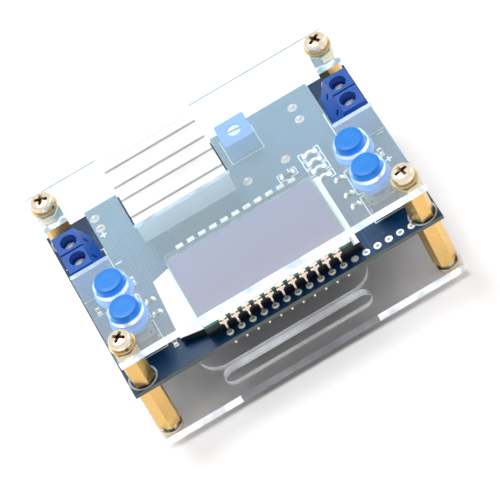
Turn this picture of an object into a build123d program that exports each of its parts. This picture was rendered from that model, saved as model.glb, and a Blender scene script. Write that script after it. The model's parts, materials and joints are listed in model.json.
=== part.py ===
from build123d import *
import math
import os

os.makedirs("parts", exist_ok=True)

# Step-down power module between two clear plates: all sizes in millimetres,
# +Z up, +X towards the output side, origin on the table under the middle.

# Circuit board
board_l = 69.1
board_w = 48.5
board_t = 1.0
hole_inset_x = 3.15
hole_inset_y = 3.05
lead_hole_d = 1.0
lead_slot_w = 0.9

# Screws, washers and hexagon standoffs, M2.5
thread_d = 2.4
bore_d = 2.5
clear_d = 2.8
head_d = 4.75
head_h = 1.6
head_edge_h = 0.6
head_edge_w = 0.6
recess_l = 3.0
recess_w = 0.6
recess_deep = 0.8
thread_grip = 4.0

# Sides that stand for a round outline: seen, on a button, hidden, and on a thin lead
head_sides = 24
cap_sides = 32
hidden_sides = 12
lead_sides = 6
washer_od = 5.5
washer_id = 2.7
washer_h = 0.3
spring_od = 4.4
spring_h = 0.5
spring_split = 0.45
standoff_af = 4.5
standoff_edge = 0.2
upper_bore_deep = 6.5
standoff_turns = [-21.0, 7.0, 16.0, -12.0]

# Clear plates
plate_t = 2.0
plate_over_x = 2.6
plate_over_y = 4.05
lower_gap = 13.5
upper_gap = 9.36

# Openings of the bottom plate
slot_l = 33.3
slot_w = 4.1
slot_x = -1.25
slot_inset = 6.1
window_l = 38.3
window_w = 32.4
window_x = -1.45
window_r = 5.0

# Two-pole screw terminals
term_setback = 3.75
in_term_y = 8.3
out_term_y = 8.5
term_pitch = 5.08
term_w = 10.6
term_h = 10.0
face_out = 3.1
top_out = 2.8
top_in = 2.1
slope_in = 4.3
slope_z = 5.5
base_in = 4.6
well_d = 3.5
top_groove_w = 0.4
top_groove_deep = 0.5
slit_w = 0.7
slit_l = 1.5
slit_deep = 0.6
notch_gap = 2.4
notch_inner_gap = 0.9
in_notch_shift = 0.5
out_notch_shift = -0.07

# Clamp of each pole: turning screw, rising cage, fixed contact bar
cage_l = 3.6
cage_w = 3.9
cage_h = 4.2
cage_wall = 0.5
cage_floor = 0.7
cage_lift = 1.5
run_gap = 0.15
shelf_t = 0.4
clamp_thread_d = 2.2
clamp_hole_gap = 0.2
clamp_head_d = 3.1
clamp_head_h = 1.2
clamp_slot_w = 0.6
clamp_slot_deep = 0.7
bar_t = 0.5
bar_w = 2.5
bar_gap = 0.1
leg_back = 3.4
pin_w = 1.0
pin_below = 2.4
pin_hole_d = 1.35
entry_w = 3.2
entry_h = 3.6

# Push buttons: switch, plunger and tall cap through the top plate
key_left_inset = 6.8
key_right_inset = 8.15
key_front_y = -13.75
key_pitch = 8.0
key_hole_d = 7.1
cap_d = 5.9
cap_edge = 0.3
cap_proud = 1.14
cap_skirt = 7.5
collar_w = 4.2
socket_deep = 2.3
flange_d = 8.0
flange_h = 1.0
flange_drop = 0.96
switch_w = 6.0
switch_base_h = 3.2
switch_cover_h = 0.3
switch_corner = 0.6
plunger_d = 3.4
plunger_gap = 0.15
plunger_step_h = 4.4
plunger_sink = 0.55
stub_w = 2.4
stub_gap = 0.05
key_travel = 0.25
lead_w = 0.7
lead_t = 0.3
lead_span = 6.5
lead_pitch = 4.5
lead_rise = 1.5
lead_below = 1.6

# Trimmer
trim_x = 8.7
trim_inset = 5.85
trim_l = 6.6
trim_w = 6.6
trim_h = 4.9
trim_foot_h = 0.3
trim_foot_w = 0.6
trim_foot_inset = 0.6
trim_edge = 0.3
rotor_d = 2.8
rotor_gap = 0.15
rotor_deep = 1.4
rotor_sink = 0.1
rotor_slot_w = 0.55
rotor_slot_deep = 0.6
trim_pin_d = 0.6
trim_pin_pitch = 2.54
trim_pin_step = 1.27

# Display: carrier, light spreader, two glass sheets, polarizer, edge clips
pad_inset = 1.72
pad_pitch = 2.54
pad_count = 17
pad_first_x = -12.34
clip_count = 11
glass_l = 33.0
glass_w = 20.8
glass_x = 0.1
glass_t = 1.1
glass_step = 0.53
polar_l = 32.2
polar_w = 17.0
polar_front = 2.0
polar_t = 0.2
carrier_gap = 0.2
carrier_t = 1.8
carrier_right = 18.0
carrier_left = -16.2
carrier_front = 0.8
carrier_back = 0.4
tab_front_x = -21.3
tab_back_x = -20.4
tab_front_y = 2.8
tab_root_y = 1.8
tab_back_y = 2.5
tab_root_back_y = 1.2
tab_thin = 1.0
spreader_t = 0.2
clip_w = 1.6
clip_t = 0.25
clip_reach = 1.0
clip_bar_h = 0.2
clip_plate_h = 0.95
clip_stem_w = 0.5
clip_below = 2.4

# Heat sink on the two power packages
sink_x = -7.35
sink_l = 20.8
sink_w = 20.1
sink_h = 6.2
sink_overhang = 0.55
sink_notch_gap = 0.35
sink_grooves = [2.9, 8.1, 12.1, 17.1]
sink_groove_w = 0.8
sink_groove_deep = 3.6
sink_round = 0.9
pack_l = 9.8
pack_w = 9.0
pack_h = 3.8
pack_gap = 0.6
pack_front = 6.2
pack_edge = 0.4
tab_l = 7.6
tab_w = 1.6
tab_t = 1.3
thermal_t = 0.3
gull_w = 0.8
gull_t = 0.4
gull_reach = 3.2
gull_foot = 1.4
gull_z = 1.8
regulator_lead_count = 5
regulator_pitch = 1.7
rectifier_lead_count = 2
rectifier_pitch = 5.08

# Coil and capacitors under the board
coil_inset_x = 24.37
coil_y = 8.85
core_od = 9.6
core_id = 4.8
core_w = 4.6
core_edge = 0.5
wire_d = 0.7
wire_gap = 0.05
coil_turns = 11
coil_end_turn = 56.0
coil_gap = 0.3
can_d = 8.0
can_h = 11.0
can_gap = 0.3
can_edge = 0.5
can_neck = 0.35
can_neck_z = 1.6
can_neck_h = 1.0
can_lead_d = 0.6
in_can_inset_x = 10.45
in_can_inset_y = 4.5
in_can_span = 3.1
out_can_inset_x = 13.4
out_can_inset_y = 6.0
out_can_span = 3.7
blob_d = 1.9
blob_h = 0.7
blob_taper = 40.0

# Control chip under the board
chip_x = -4.0
chip_y = -10.5
chip_l = 10.3
chip_w = 7.5
chip_h = 2.3
chip_stand = 0.1
chip_leads = 8
chip_pitch = 1.27
chip_lead_w = 0.4
chip_lead_t = 0.25
chip_lead_reach = 1.4
chip_lead_z = 1.2

# Small parts on the top face
led_x = 19.1
led_ys = [6.9, 4.45, 2.1, -0.5]
led_l = 1.6
led_w = 0.8
led_h = 0.7
diode_x = 13.2
diode_y = 5.0
diode_l = 1.8
diode_w = 1.3
diode_h = 0.9
diode_edge = 0.15
diode_tab = 0.55
diode_tab_w = 0.9
small_l = 1.6
small_w = 0.85
small_h = 0.55
small_right_share = 0.68
small_right_ys = [-3.2, -8.0, -11.4]
small_left_gap = 5.05
small_left_ys = [-5.6, -9.4]
upright_right = [(4.7, -2.6)]
upright_left = [(3.95, 1.35), (5.15, -17.6), (-4.75, -1.2)]

# Levels and places that follow from the sizes
low_plate_z = head_h
board_z = low_plate_z + plate_t + lower_gap
deck = board_z + board_t
high_plate_z = deck + upper_gap
plate_top = high_plate_z + plate_t
hole_x = board_l / 2 - hole_inset_x
hole_y = board_w / 2 - hole_inset_y
plate_l = 2 * (hole_x + plate_over_x)
plate_w = 2 * (hole_y + plate_over_y)
corners = [(-hole_x, -hole_y), (hole_x, -hole_y), (hole_x, hole_y), (-hole_x, hole_y)]
term_x = board_l / 2 - term_setback
terminals = [("input", -1, in_term_y, in_notch_shift), ("output", 1, out_term_y, out_notch_shift)]
poles = []
for side_name, side, term_y, _ in terminals:
    poles.append((side_name + "_front", side, side * term_x, term_y - term_pitch / 2))
    poles.append((side_name + "_back", side, side * term_x, term_y + term_pitch / 2))
key_left = -(board_l / 2 - key_left_inset)
key_right = board_l / 2 - key_right_inset
keys = [(key_left, key_front_y + key_pitch), (key_left, key_front_y),
        (key_right, key_front_y + key_pitch), (key_right, key_front_y)]
key_leads = []
for x, y in keys:
    for sx in (-1, 1):
        for sy in (-1, 1):
            key_leads.append((x + sx * lead_span / 2, y + sy * lead_pitch / 2, sx))
trim_y = board_w / 2 - trim_inset
small_right_x = carrier_right + small_right_share * (key_right - lead_span / 2 - lead_t / 2 - carrier_right)
small_flat = [(small_right_x, y) for y in small_right_ys]
small_flat += [(key_left + small_left_gap, y) for y in small_left_ys]
small_upright = [(key_right + dx, y) for dx, y in upright_right]
small_upright += [(key_left + dx, y) for dx, y in upright_left]
trim_pins = [(trim_x - trim_pin_pitch, trim_y - trim_pin_step), (trim_x, trim_y + trim_pin_step),
             (trim_x + trim_pin_pitch, trim_y - trim_pin_step)]
pad_y = -board_w / 2 + pad_inset
glass_front = pad_y + glass_step
glass_back = glass_front + glass_w
back_pin_y = glass_back + glass_step
carrier_z = deck + carrier_gap
spreader_z = carrier_z + carrier_t
glass_z = spreader_z + spreader_t
glass_top = glass_z + 2 * glass_t
clip_mid_x = pad_first_x + (clip_count - 1) * pad_pitch / 2
sink_front = board_w / 2 + sink_overhang - sink_w
pack_y = sink_front + pack_front + pack_w / 2
sink_z = deck + pack_h + thermal_t
pack_step = (pack_l + pack_gap) / 2
in_can = (-(board_l / 2 - in_can_inset_x), board_w / 2 - in_can_inset_y)
out_can = (board_l / 2 - out_can_inset_x, board_w / 2 - out_can_inset_y)
can_leads = [(in_can[0], in_can[1] - in_can_span / 2), (in_can[0], in_can[1] + in_can_span / 2),
             (out_can[0], out_can[1] - out_can_span / 2), (out_can[0], out_can[1] + out_can_span / 2)]
coil_x = board_l / 2 - coil_inset_x
strand_r = core_od / 2 + wire_gap + wire_d / 2
coil_z = board_z - coil_gap - strand_r - wire_d / 2
coil_lead_x = strand_r * math.sin(math.radians(coil_end_turn))
coil_leads = [(coil_x - coil_lead_x, coil_y), (coil_x + coil_lead_x, coil_y)]

# Bottom plate with its cable slot and large window
with BuildPart() as bottom_plate:
    with BuildSketch(Plane.XY.offset(low_plate_z)):
        Rectangle(plate_l, plate_w)
        with GridLocations(2 * hole_x, 2 * hole_y, 2, 2):
            RegularPolygon(clear_d / 2, hidden_sides, major_radius=False, mode=Mode.SUBTRACT)
        with Locations((slot_x, -plate_w / 2 + slot_inset)):
            SlotOverall(slot_l, slot_w, mode=Mode.SUBTRACT)
        with Locations((window_x, 0)):
            RectangleRounded(window_l, window_w, window_r, mode=Mode.SUBTRACT)
    extrude(amount=plate_t)
bottom_plate.part.label = "bottom_plate"
export_step(bottom_plate.part, "parts/bottom_plate.step")

# Top plate: side notches for the terminals, rear notch for the heat sink, button holes
with BuildPart() as top_plate:
    with BuildSketch(Plane.XY.offset(high_plate_z)):
        Rectangle(plate_l, plate_w)
        with GridLocations(2 * hole_x, 2 * hole_y, 2, 2):
            RegularPolygon(clear_d / 2, hidden_sides, major_radius=False, mode=Mode.SUBTRACT)
        with Locations(*keys):
            Circle(key_hole_d / 2, mode=Mode.SUBTRACT)
        for side_name, side, term_y, shift in terminals:
            notch_in = term_x - base_in - notch_inner_gap
            notch_out = plate_l / 2 + 1
            with Locations((side * (notch_in + notch_out) / 2, term_y + shift)):
                Rectangle(notch_out - notch_in, term_w + 2 * notch_gap, mode=Mode.SUBTRACT)
        notch_front = sink_front - sink_notch_gap
        notch_back = plate_w / 2 + 1
        with Locations((sink_x, (notch_front + notch_back) / 2)):
            Rectangle(sink_l + 2 * sink_notch_gap, notch_back - notch_front, mode=Mode.SUBTRACT)
    extrude(amount=plate_t)
top_plate.part.label = "top_plate"
export_step(top_plate.part, "parts/top_plate.step")

# Circuit board with a hole for every lead
with BuildPart() as circuit_board:
    with BuildSketch(Plane.XY.offset(board_z)):
        Rectangle(board_l, board_w)
        with GridLocations(2 * hole_x, 2 * hole_y, 2, 2):
            RegularPolygon(clear_d / 2, hidden_sides, major_radius=False, mode=Mode.SUBTRACT)
        for k in range(pad_count):
            with Locations((pad_first_x + k * pad_pitch, pad_y)):
                RegularPolygon(lead_hole_d / 2, lead_sides, mode=Mode.SUBTRACT)
        with Locations((clip_mid_x, back_pin_y)):
            with GridLocations(pad_pitch, 1, clip_count, 1):
                Rectangle(lead_slot_w, lead_slot_w, mode=Mode.SUBTRACT)
        with Locations(*[(x, y) for x, y, _ in key_leads]):
            Rectangle(lead_slot_w, lead_slot_w, mode=Mode.SUBTRACT)
        with Locations(*trim_pins, *can_leads, *coil_leads):
            RegularPolygon(lead_hole_d / 2, lead_sides, mode=Mode.SUBTRACT)
        for _, side, x, y in poles:
            with Locations((x - side * (leg_back - bar_t / 2), y)):
                RegularPolygon(pin_hole_d / 2, lead_sides, mode=Mode.SUBTRACT)
    extrude(amount=board_t)
circuit_board.part.label = "circuit_board"
export_step(circuit_board.part, "parts/circuit_board.step")

# Upper standoffs: hexagon body, blind thread on top, stud through the board
with BuildPart() as upper_standoffs:
    for (x, y), turn in zip(corners, standoff_turns):
        with BuildSketch(Plane.XY.offset(deck)):
            with Locations(Location((x, y, 0), (0, 0, turn))):
                RegularPolygon(standoff_af / 2, 6, major_radius=False)
        extrude(amount=upper_gap)
    chamfer(upper_standoffs.faces().filter_by(Axis.Z).edges(), standoff_edge)
    with BuildSketch(Plane.XY.offset(high_plate_z)):
        with Locations(*corners):
            RegularPolygon(bore_d / 2, hidden_sides, major_radius=False)
    extrude(amount=-upper_bore_deep, mode=Mode.SUBTRACT)
    with BuildSketch(Plane.XY.offset(deck)):
        with Locations(*corners):
            RegularPolygon(thread_d / 2, hidden_sides)
    extrude(amount=-(board_t + thread_grip))
upper_standoffs.part.label = "upper_standoffs"
export_step(upper_standoffs.part, "parts/upper_standoffs.step")

# Lower standoffs: threaded right through
with BuildPart() as lower_standoffs:
    for (x, y), turn in zip(corners, standoff_turns):
        with BuildSketch(Plane.XY.offset(low_plate_z + plate_t)):
            with Locations(Location((x, y, 0), (0, 0, -turn))):
                RegularPolygon(standoff_af / 2, 6, major_radius=False)
        extrude(amount=lower_gap)
    chamfer(lower_standoffs.faces().filter_by(Axis.Z).edges(), standoff_edge)
    with BuildSketch(Plane.XY.offset(low_plate_z + plate_t)):
        with Locations(*corners):
            RegularPolygon(bore_d / 2, hidden_sides, major_radius=False)
    extrude(amount=lower_gap, mode=Mode.SUBTRACT)
lower_standoffs.part.label = "lower_standoffs"
export_step(lower_standoffs.part, "parts/lower_standoffs.step")

# Washers under the top screw heads
with BuildPart() as flat_washers:
    with BuildSketch(Plane.XY.offset(plate_top)):
        with Locations(*corners):
            RegularPolygon(washer_od / 2, head_sides)
            RegularPolygon(washer_id / 2, hidden_sides, major_radius=False, mode=Mode.SUBTRACT)
    extrude(amount=washer_h)
flat_washers.part.label = "flat_washers"
export_step(flat_washers.part, "parts/flat_washers.step")

with BuildPart() as spring_washers:
    with BuildSketch(Plane.XY.offset(plate_top + washer_h)):
        for (x, y), turn in zip(corners, standoff_turns):
            with Locations(Location((x, y, 0), (0, 0, 4 * turn))):
                RegularPolygon(spring_od / 2, head_sides)
                RegularPolygon(washer_id / 2, hidden_sides, major_radius=False, mode=Mode.SUBTRACT)
                with Locations((spring_od / 2, 0)):
                    Rectangle(spring_od / 2, spring_split, mode=Mode.SUBTRACT)
    extrude(amount=spring_h)
spring_washers.part.label = "spring_washers"
export_step(spring_washers.part, "parts/spring_washers.step")

# Pan-head screws: one set through the top plate, one set from below
head_z = plate_top + washer_h + spring_h
top_thread = head_z - high_plate_z + thread_grip
with BuildPart() as top_screws:
    with BuildSketch(Plane.XY.offset(head_z)):
        with Locations(*corners):
            RegularPolygon(head_d / 2, head_sides)
    extrude(amount=head_h)
    chamfer(top_screws.faces().sort_by(Axis.Z)[-4:].edges(), head_edge_h, head_edge_w)
    with BuildSketch(Plane.XY.offset(head_z + head_h)):
        for (x, y), turn in zip(corners, standoff_turns):
            with Locations(Location((x, y, 0), (0, 0, 2 * turn))):
                Rectangle(recess_l, recess_w)
                Rectangle(recess_w, recess_l)
    extrude(amount=-recess_deep, mode=Mode.SUBTRACT)
    with BuildSketch(Plane.XY.offset(head_z)):
        with Locations(*corners):
            RegularPolygon(thread_d / 2, hidden_sides)
    extrude(amount=-top_thread)
top_screws.part.label = "top_screws"
export_step(top_screws.part, "parts/top_screws.step")

with BuildPart() as bottom_screws:
    with BuildSketch(Plane.XY):
        with Locations(*corners):
            RegularPolygon(head_d / 2, head_sides)
    extrude(amount=head_h)
    chamfer(bottom_screws.faces().sort_by(Axis.Z)[:4].edges(), head_edge_h, head_edge_w)
    with BuildSketch(Plane.XY):
        for (x, y), turn in zip(corners, standoff_turns):
            with Locations(Location((x, y, 0), (0, 0, -3 * turn))):
                Rectangle(recess_l, recess_w)
                Rectangle(recess_w, recess_l)
    extrude(amount=recess_deep, mode=Mode.SUBTRACT)
    with BuildSketch(Plane.XY.offset(head_h)):
        with Locations(*corners):
            RegularPolygon(thread_d / 2, hidden_sides)
    extrude(amount=plate_t + thread_grip)
bottom_screws.part.label = "bottom_screws"
export_step(bottom_screws.part, "parts/bottom_screws.step")

# Terminal housings: sloped rear, screw wells, wire entries, clamp chambers
cage_low = deck + cage_floor
cage_top = cage_low + cage_h
chamber_z = cage_low - run_gap
shelf_z = cage_top + cage_lift + run_gap
bar_top = cage_top - cage_wall - bar_gap
for side_name, side, term_y, _ in terminals:
    cx = side * term_x
    with BuildPart() as housing:
        with BuildSketch(Plane.XZ.offset(-term_y)):
            with BuildLine():
                Polyline(
                    (cx + side * face_out, deck),
                    (cx + side * top_out, deck + term_h),
                    (cx - side * top_in, deck + term_h),
                    (cx - side * slope_in, deck + slope_z),
                    (cx - side * base_in, deck),
                    close=True,
                )
            make_face()
        extrude(amount=term_w / 2, both=True)
        with BuildSketch(Plane.XY.offset(deck + term_h)):
            with Locations((cx, term_y)):
                with GridLocations(1, term_pitch, 1, 2):
                    RegularPolygon(well_d / 2, head_sides, major_radius=False)
        extrude(amount=-(deck + term_h - shelf_z - shelf_t), mode=Mode.SUBTRACT)
        with BuildSketch(Plane.XY.offset(shelf_z)):
            with Locations((cx, term_y)):
                with GridLocations(1, term_pitch, 1, 2):
                    RegularPolygon(clamp_thread_d / 2 + clamp_hole_gap, hidden_sides, major_radius=False)
        extrude(amount=shelf_t, mode=Mode.SUBTRACT)
        with BuildSketch(Plane.XY.offset(chamber_z)):
            with Locations((cx, term_y)):
                with GridLocations(1, term_pitch, 1, 2):
                    Rectangle(cage_l + 2 * run_gap, cage_w + 2 * run_gap)
        extrude(amount=shelf_z - chamber_z, mode=Mode.SUBTRACT)
        with BuildSketch(Plane.XY.offset(chamber_z)):
            with Locations((cx + side * face_out, term_y)):
                with GridLocations(1, term_pitch, 1, 2):
                    Rectangle(2 * (face_out - cage_l / 2), entry_w)
        extrude(amount=entry_h, mode=Mode.SUBTRACT)
        with BuildSketch(Plane.XY.offset(deck)):
            with Locations((cx - side * (leg_back + bar_gap + cage_l / 2) / 2, term_y)):
                with GridLocations(1, term_pitch, 1, 2):
                    Rectangle(leg_back + bar_gap - cage_l / 2, bar_w + 2 * bar_gap)
        extrude(amount=bar_top + bar_gap - deck, mode=Mode.SUBTRACT)
        with BuildSketch(Plane.XY.offset(deck + term_h)):
            with Locations((cx + side * (top_out - top_in) / 2, term_y)):
                Rectangle(2 * (top_out + top_in), top_groove_w)
        extrude(amount=-top_groove_deep, mode=Mode.SUBTRACT)
        slope_run = slope_in - top_in
        slope_fall = term_h - slope_z
        slope_plane = Plane(
            origin=(cx - side * (top_in + slope_run * 0.45), term_y, deck + term_h - slope_fall * 0.45),
            x_dir=(0, 1, 0),
            z_dir=(-side * slope_fall, 0, slope_run),
        )
        with BuildSketch(slope_plane):
            with GridLocations(term_pitch, 1, 2, 1):
                Rectangle(slit_w, slit_l)
        extrude(amount=-slit_deep, mode=Mode.SUBTRACT)
    housing.part.label = side_name + "_terminal"
    export_step(housing.part, "parts/" + side_name + "_terminal.step")

# Clamp screws and rising cages, one of each per pole
for pole_name, side, x, y in poles:
    with BuildPart() as clamp_screw:
        with BuildSketch(Plane.XY.offset(shelf_z + shelf_t)):
            with Locations((x, y)):
                RegularPolygon(clamp_head_d / 2, head_sides)
        extrude(amount=clamp_head_h)
        with BuildSketch(Plane.XY.offset(shelf_z + shelf_t + clamp_head_h)):
            with Locations(Location((x, y, 0), (0, 0, 35.0))):
                Rectangle(clamp_head_d, clamp_slot_w)
        extrude(amount=-clamp_slot_deep, mode=Mode.SUBTRACT)
        with BuildSketch(Plane.XY.offset(cage_top - cage_wall)):
            with Locations((x, y)):
                RegularPolygon(clamp_thread_d / 2, hidden_sides)
        extrude(amount=shelf_z + shelf_t - cage_top + cage_wall)
    clamp_screw.part.label = pole_name + "_screw"
    export_step(clamp_screw.part, "parts/" + pole_name + "_screw.step")

    with BuildPart() as cage:
        with BuildSketch(Plane.YZ.offset(x)):
            with Locations((y, cage_low + cage_h / 2)):
                Rectangle(cage_w, cage_h)
                Rectangle(cage_w - 2 * cage_wall, cage_h - 2 * cage_wall, mode=Mode.SUBTRACT)
        extrude(amount=cage_l / 2, both=True)
        with BuildSketch(Plane.XY.offset(cage_top)):
            with Locations((x, y)):
                RegularPolygon(clamp_thread_d / 2 + clamp_hole_gap / 2, hidden_sides, major_radius=False)
        extrude(amount=-cage_wall, mode=Mode.SUBTRACT)
    cage.part.label = pole_name + "_cage"
    export_step(cage.part, "parts/" + pole_name + "_cage.step")

# Fixed contact bars with their solder pins
with BuildPart() as terminal_contacts:
    for _, side, x, y in poles:
        with BuildSketch(Plane.XY.offset(bar_top)):
            with Locations((x - side * (leg_back - cage_l / 2) / 2, y)):
                Rectangle(leg_back + cage_l / 2, bar_w)
        extrude(amount=-bar_t)
        with BuildSketch(Plane.XY.offset(bar_top)):
            with Locations((x - side * (leg_back - bar_t / 2), y)):
                Rectangle(bar_t, bar_w)
        extrude(amount=deck + bar_t - bar_top)
        with BuildSketch(Plane.XY.offset(bar_top)):
            with Locations((x - side * (leg_back - bar_t / 2), y)):
                Rectangle(bar_t, pin_w)
        extrude(amount=board_z - pin_below - bar_top)
terminal_contacts.part.label = "terminal_contacts"
export_step(terminal_contacts.part, "parts/terminal_contacts.step")

# Switches under the buttons
with BuildPart() as switch_bases:
    with BuildSketch(Plane.XY.offset(deck)):
        with Locations(*keys):
            Rectangle(switch_w, switch_w)
    extrude(amount=switch_base_h)
    chamfer(switch_bases.edges().filter_by(Axis.Z), switch_corner)
    with BuildSketch(Plane.XY.offset(deck + switch_base_h)):
        with Locations(*keys):
            RegularPolygon(plunger_d / 2 + plunger_gap, hidden_sides, major_radius=False)
    extrude(amount=-(plunger_sink + key_travel + plunger_gap), mode=Mode.SUBTRACT)
switch_bases.part.label = "switch_bases"
export_step(switch_bases.part, "parts/switch_bases.step")

with BuildPart() as switch_covers:
    with BuildSketch(Plane.XY.offset(deck + switch_base_h)):
        with Locations(*keys):
            Rectangle(switch_w, switch_w)
    extrude(amount=switch_cover_h)
    chamfer(switch_covers.edges().filter_by(Axis.Z), switch_corner)
    with BuildSketch(Plane.XY.offset(deck + switch_base_h)):
        with Locations(*keys):
            RegularPolygon(plunger_d / 2 + plunger_gap, hidden_sides, major_radius=False)
    extrude(amount=switch_cover_h, mode=Mode.SUBTRACT)
switch_covers.part.label = "switch_covers"
export_step(switch_covers.part, "parts/switch_covers.step")

with BuildPart() as switch_leads:
    for x, y, sx in key_leads:
        with BuildSketch(Plane.XY.offset(deck + lead_rise)):
            with Locations((x, y)):
                Rectangle(lead_t, lead_w)
        extrude(amount=-(lead_rise + board_t + lead_below))
        shelf = lead_span / 2 - switch_w / 2
        with BuildSketch(Plane.XY.offset(deck + lead_rise)):
            with Locations((x - sx * shelf / 2, y)):
                Rectangle(shelf, lead_w)
        extrude(amount=-lead_t)
switch_leads.part.label = "switch_leads"
export_step(switch_leads.part, "parts/switch_leads.step")

# Plungers and tall caps, one of each per button
cap_top = plate_top + cap_proud
cap_z = cap_top - cap_skirt
flange_z = high_plate_z - flange_drop - flange_h
for k, (x, y) in enumerate(keys):
    plunger_z = deck + switch_base_h - plunger_sink
    with BuildPart() as plunger:
        with BuildSketch(Plane.XY.offset(plunger_z)):
            with Locations((x, y)):
                RegularPolygon(plunger_d / 2, hidden_sides)
        extrude(amount=deck + plunger_step_h - plunger_z)
        with BuildSketch(Plane.XY.offset(deck + plunger_step_h)):
            with Locations((x, y)):
                Rectangle(stub_w, stub_w)
        extrude(amount=cap_z + socket_deep - deck - plunger_step_h)
    plunger.part.label = "plunger_" + str(k + 1)
    export_step(plunger.part, "parts/plunger_" + str(k + 1) + ".step")

    with BuildPart() as cap:
        with BuildSketch(Plane.XY.offset(flange_z)):
            with Locations((x, y)):
                RegularPolygon(cap_d / 2, cap_sides)
        extrude(amount=cap_top - flange_z)
        chamfer(cap.faces().sort_by(Axis.Z)[-1].edges(), cap_edge)
        with BuildSketch(Plane.XY.offset(flange_z)):
            with Locations((x, y)):
                RegularPolygon(flange_d / 2, cap_sides)
        extrude(amount=flange_h)
        with BuildSketch(Plane.XY.offset(flange_z)):
            with Locations((x, y)):
                Rectangle(collar_w, collar_w)
        extrude(amount=cap_z - flange_z)
        with BuildSketch(Plane.XY.offset(cap_z)):
            with Locations((x, y)):
                Rectangle(stub_w + 2 * stub_gap, stub_w + 2 * stub_gap)
        extrude(amount=socket_deep, mode=Mode.SUBTRACT)
    cap.part.label = "cap_" + str(k + 1)
    export_step(cap.part, "parts/cap_" + str(k + 1) + ".step")

# Trimmer: square body on feet, turning rotor in a round recess, three pins
with BuildPart() as trimmer_body:
    with BuildSketch(Plane.XY.offset(deck + trim_foot_h)):
        with Locations((trim_x, trim_y)):
            Rectangle(trim_l, trim_w)
    extrude(amount=trim_h - trim_foot_h)
    chamfer(trimmer_body.edges().filter_by(Axis.Z), trim_edge)
    with BuildSketch(Plane.XY.offset(deck)):
        with Locations((trim_x, trim_y)):
            with GridLocations(trim_l - 2 * trim_foot_inset, trim_w - 2 * trim_foot_inset, 2, 2):
                Rectangle(trim_foot_w, trim_foot_w)
    extrude(amount=trim_foot_h)
    with BuildSketch(Plane.XY.offset(deck + trim_h)):
        with Locations((trim_x, trim_y)):
            Circle(rotor_d / 2 + rotor_gap)
    extrude(amount=-(rotor_sink + rotor_deep), mode=Mode.SUBTRACT)
trimmer_body.part.label = "trimmer_body"
export_step(trimmer_body.part, "parts/trimmer_body.step")

with BuildPart() as trimmer_rotor:
    with BuildSketch(Plane.XY.offset(deck + trim_h - rotor_sink)):
        with Locations((trim_x, trim_y)):
            Circle(rotor_d / 2)
    extrude(amount=-rotor_deep)
    with BuildSketch(Plane.XY.offset(deck + trim_h - rotor_sink)):
        with Locations(Location((trim_x, trim_y, 0), (0, 0, -8.0))):
            Rectangle(rotor_d, rotor_slot_w)
    extrude(amount=-rotor_slot_deep, mode=Mode.SUBTRACT)
trimmer_rotor.part.label = "trimmer_rotor"
export_step(trimmer_rotor.part, "parts/trimmer_rotor.step")

with BuildPart() as trimmer_pins:
    with BuildSketch(Plane.XY.offset(deck + trim_foot_h)):
        with Locations(*trim_pins):
            RegularPolygon(trim_pin_d / 2, lead_sides)
    extrude(amount=-(trim_foot_h + board_t + lead_below))
trimmer_pins.part.label = "trimmer_pins"
export_step(trimmer_pins.part, "parts/trimmer_pins.step")

# Display carrier with its thinning side tab, and the light spreader on it
carrier_outline = [
    (carrier_right, glass_front + carrier_front),
    (carrier_right, glass_back - carrier_back),
    (carrier_left, glass_back - carrier_back),
    (carrier_left, glass_back - tab_root_back_y),
    (tab_back_x, glass_back - tab_back_y),
    (tab_front_x, glass_front + tab_front_y),
    (carrier_left, glass_front + tab_root_y),
    (carrier_left, glass_front + carrier_front),
]
with BuildPart() as lcd_carrier:
    with BuildSketch(Plane.XY.offset(carrier_z)):
        with BuildLine():
            Polyline(*carrier_outline, close=True)
        make_face()
    extrude(amount=carrier_t)
    with BuildSketch(Plane.XZ.offset(-glass_back)):
        with BuildLine():
            Polyline(
                (carrier_left, carrier_z),
                (tab_front_x - 1, carrier_z + tab_thin),
                (tab_front_x - 1, carrier_z - 1),
                (carrier_left, carrier_z - 1),
                close=True,
            )
        make_face()
    extrude(amount=glass_w, both=True, mode=Mode.SUBTRACT)
lcd_carrier.part.label = "lcd_carrier"
export_step(lcd_carrier.part, "parts/lcd_carrier.step")

with BuildPart() as lcd_spreader:
    with BuildSketch(Plane.XY.offset(spreader_z)):
        with BuildLine():
            Polyline(*carrier_outline, close=True)
        make_face()
    extrude(amount=spreader_t)
lcd_spreader.part.label = "lcd_spreader"
export_step(lcd_spreader.part, "parts/lcd_spreader.step")

# Two glass sheets face to face, the polarizer on top
glass_y = (glass_front + glass_back) / 2
with BuildPart() as lcd_rear_glass:
    with BuildSketch(Plane.XY.offset(glass_z)):
        with Locations((glass_x, glass_y)):
            Rectangle(glass_l, glass_w)
    extrude(amount=glass_t)
lcd_rear_glass.part.label = "lcd_rear_glass"
export_step(lcd_rear_glass.part, "parts/lcd_rear_glass.step")

with BuildPart() as lcd_front_glass:
    with BuildSketch(Plane.XY.offset(glass_z + glass_t)):
        with Locations((glass_x, glass_y)):
            Rectangle(glass_l, glass_w)
    extrude(amount=glass_t)
lcd_front_glass.part.label = "lcd_front_glass"
export_step(lcd_front_glass.part, "parts/lcd_front_glass.step")

with BuildPart() as lcd_polarizer:
    with BuildSketch(Plane.XY.offset(glass_top)):
        with Locations((glass_x, glass_front + polar_front + polar_w / 2)):
            Rectangle(polar_l, polar_w)
    extrude(amount=polar_t)
lcd_polarizer.part.label = "lcd_polarizer"
export_step(lcd_polarizer.part, "parts/lcd_polarizer.step")

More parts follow.
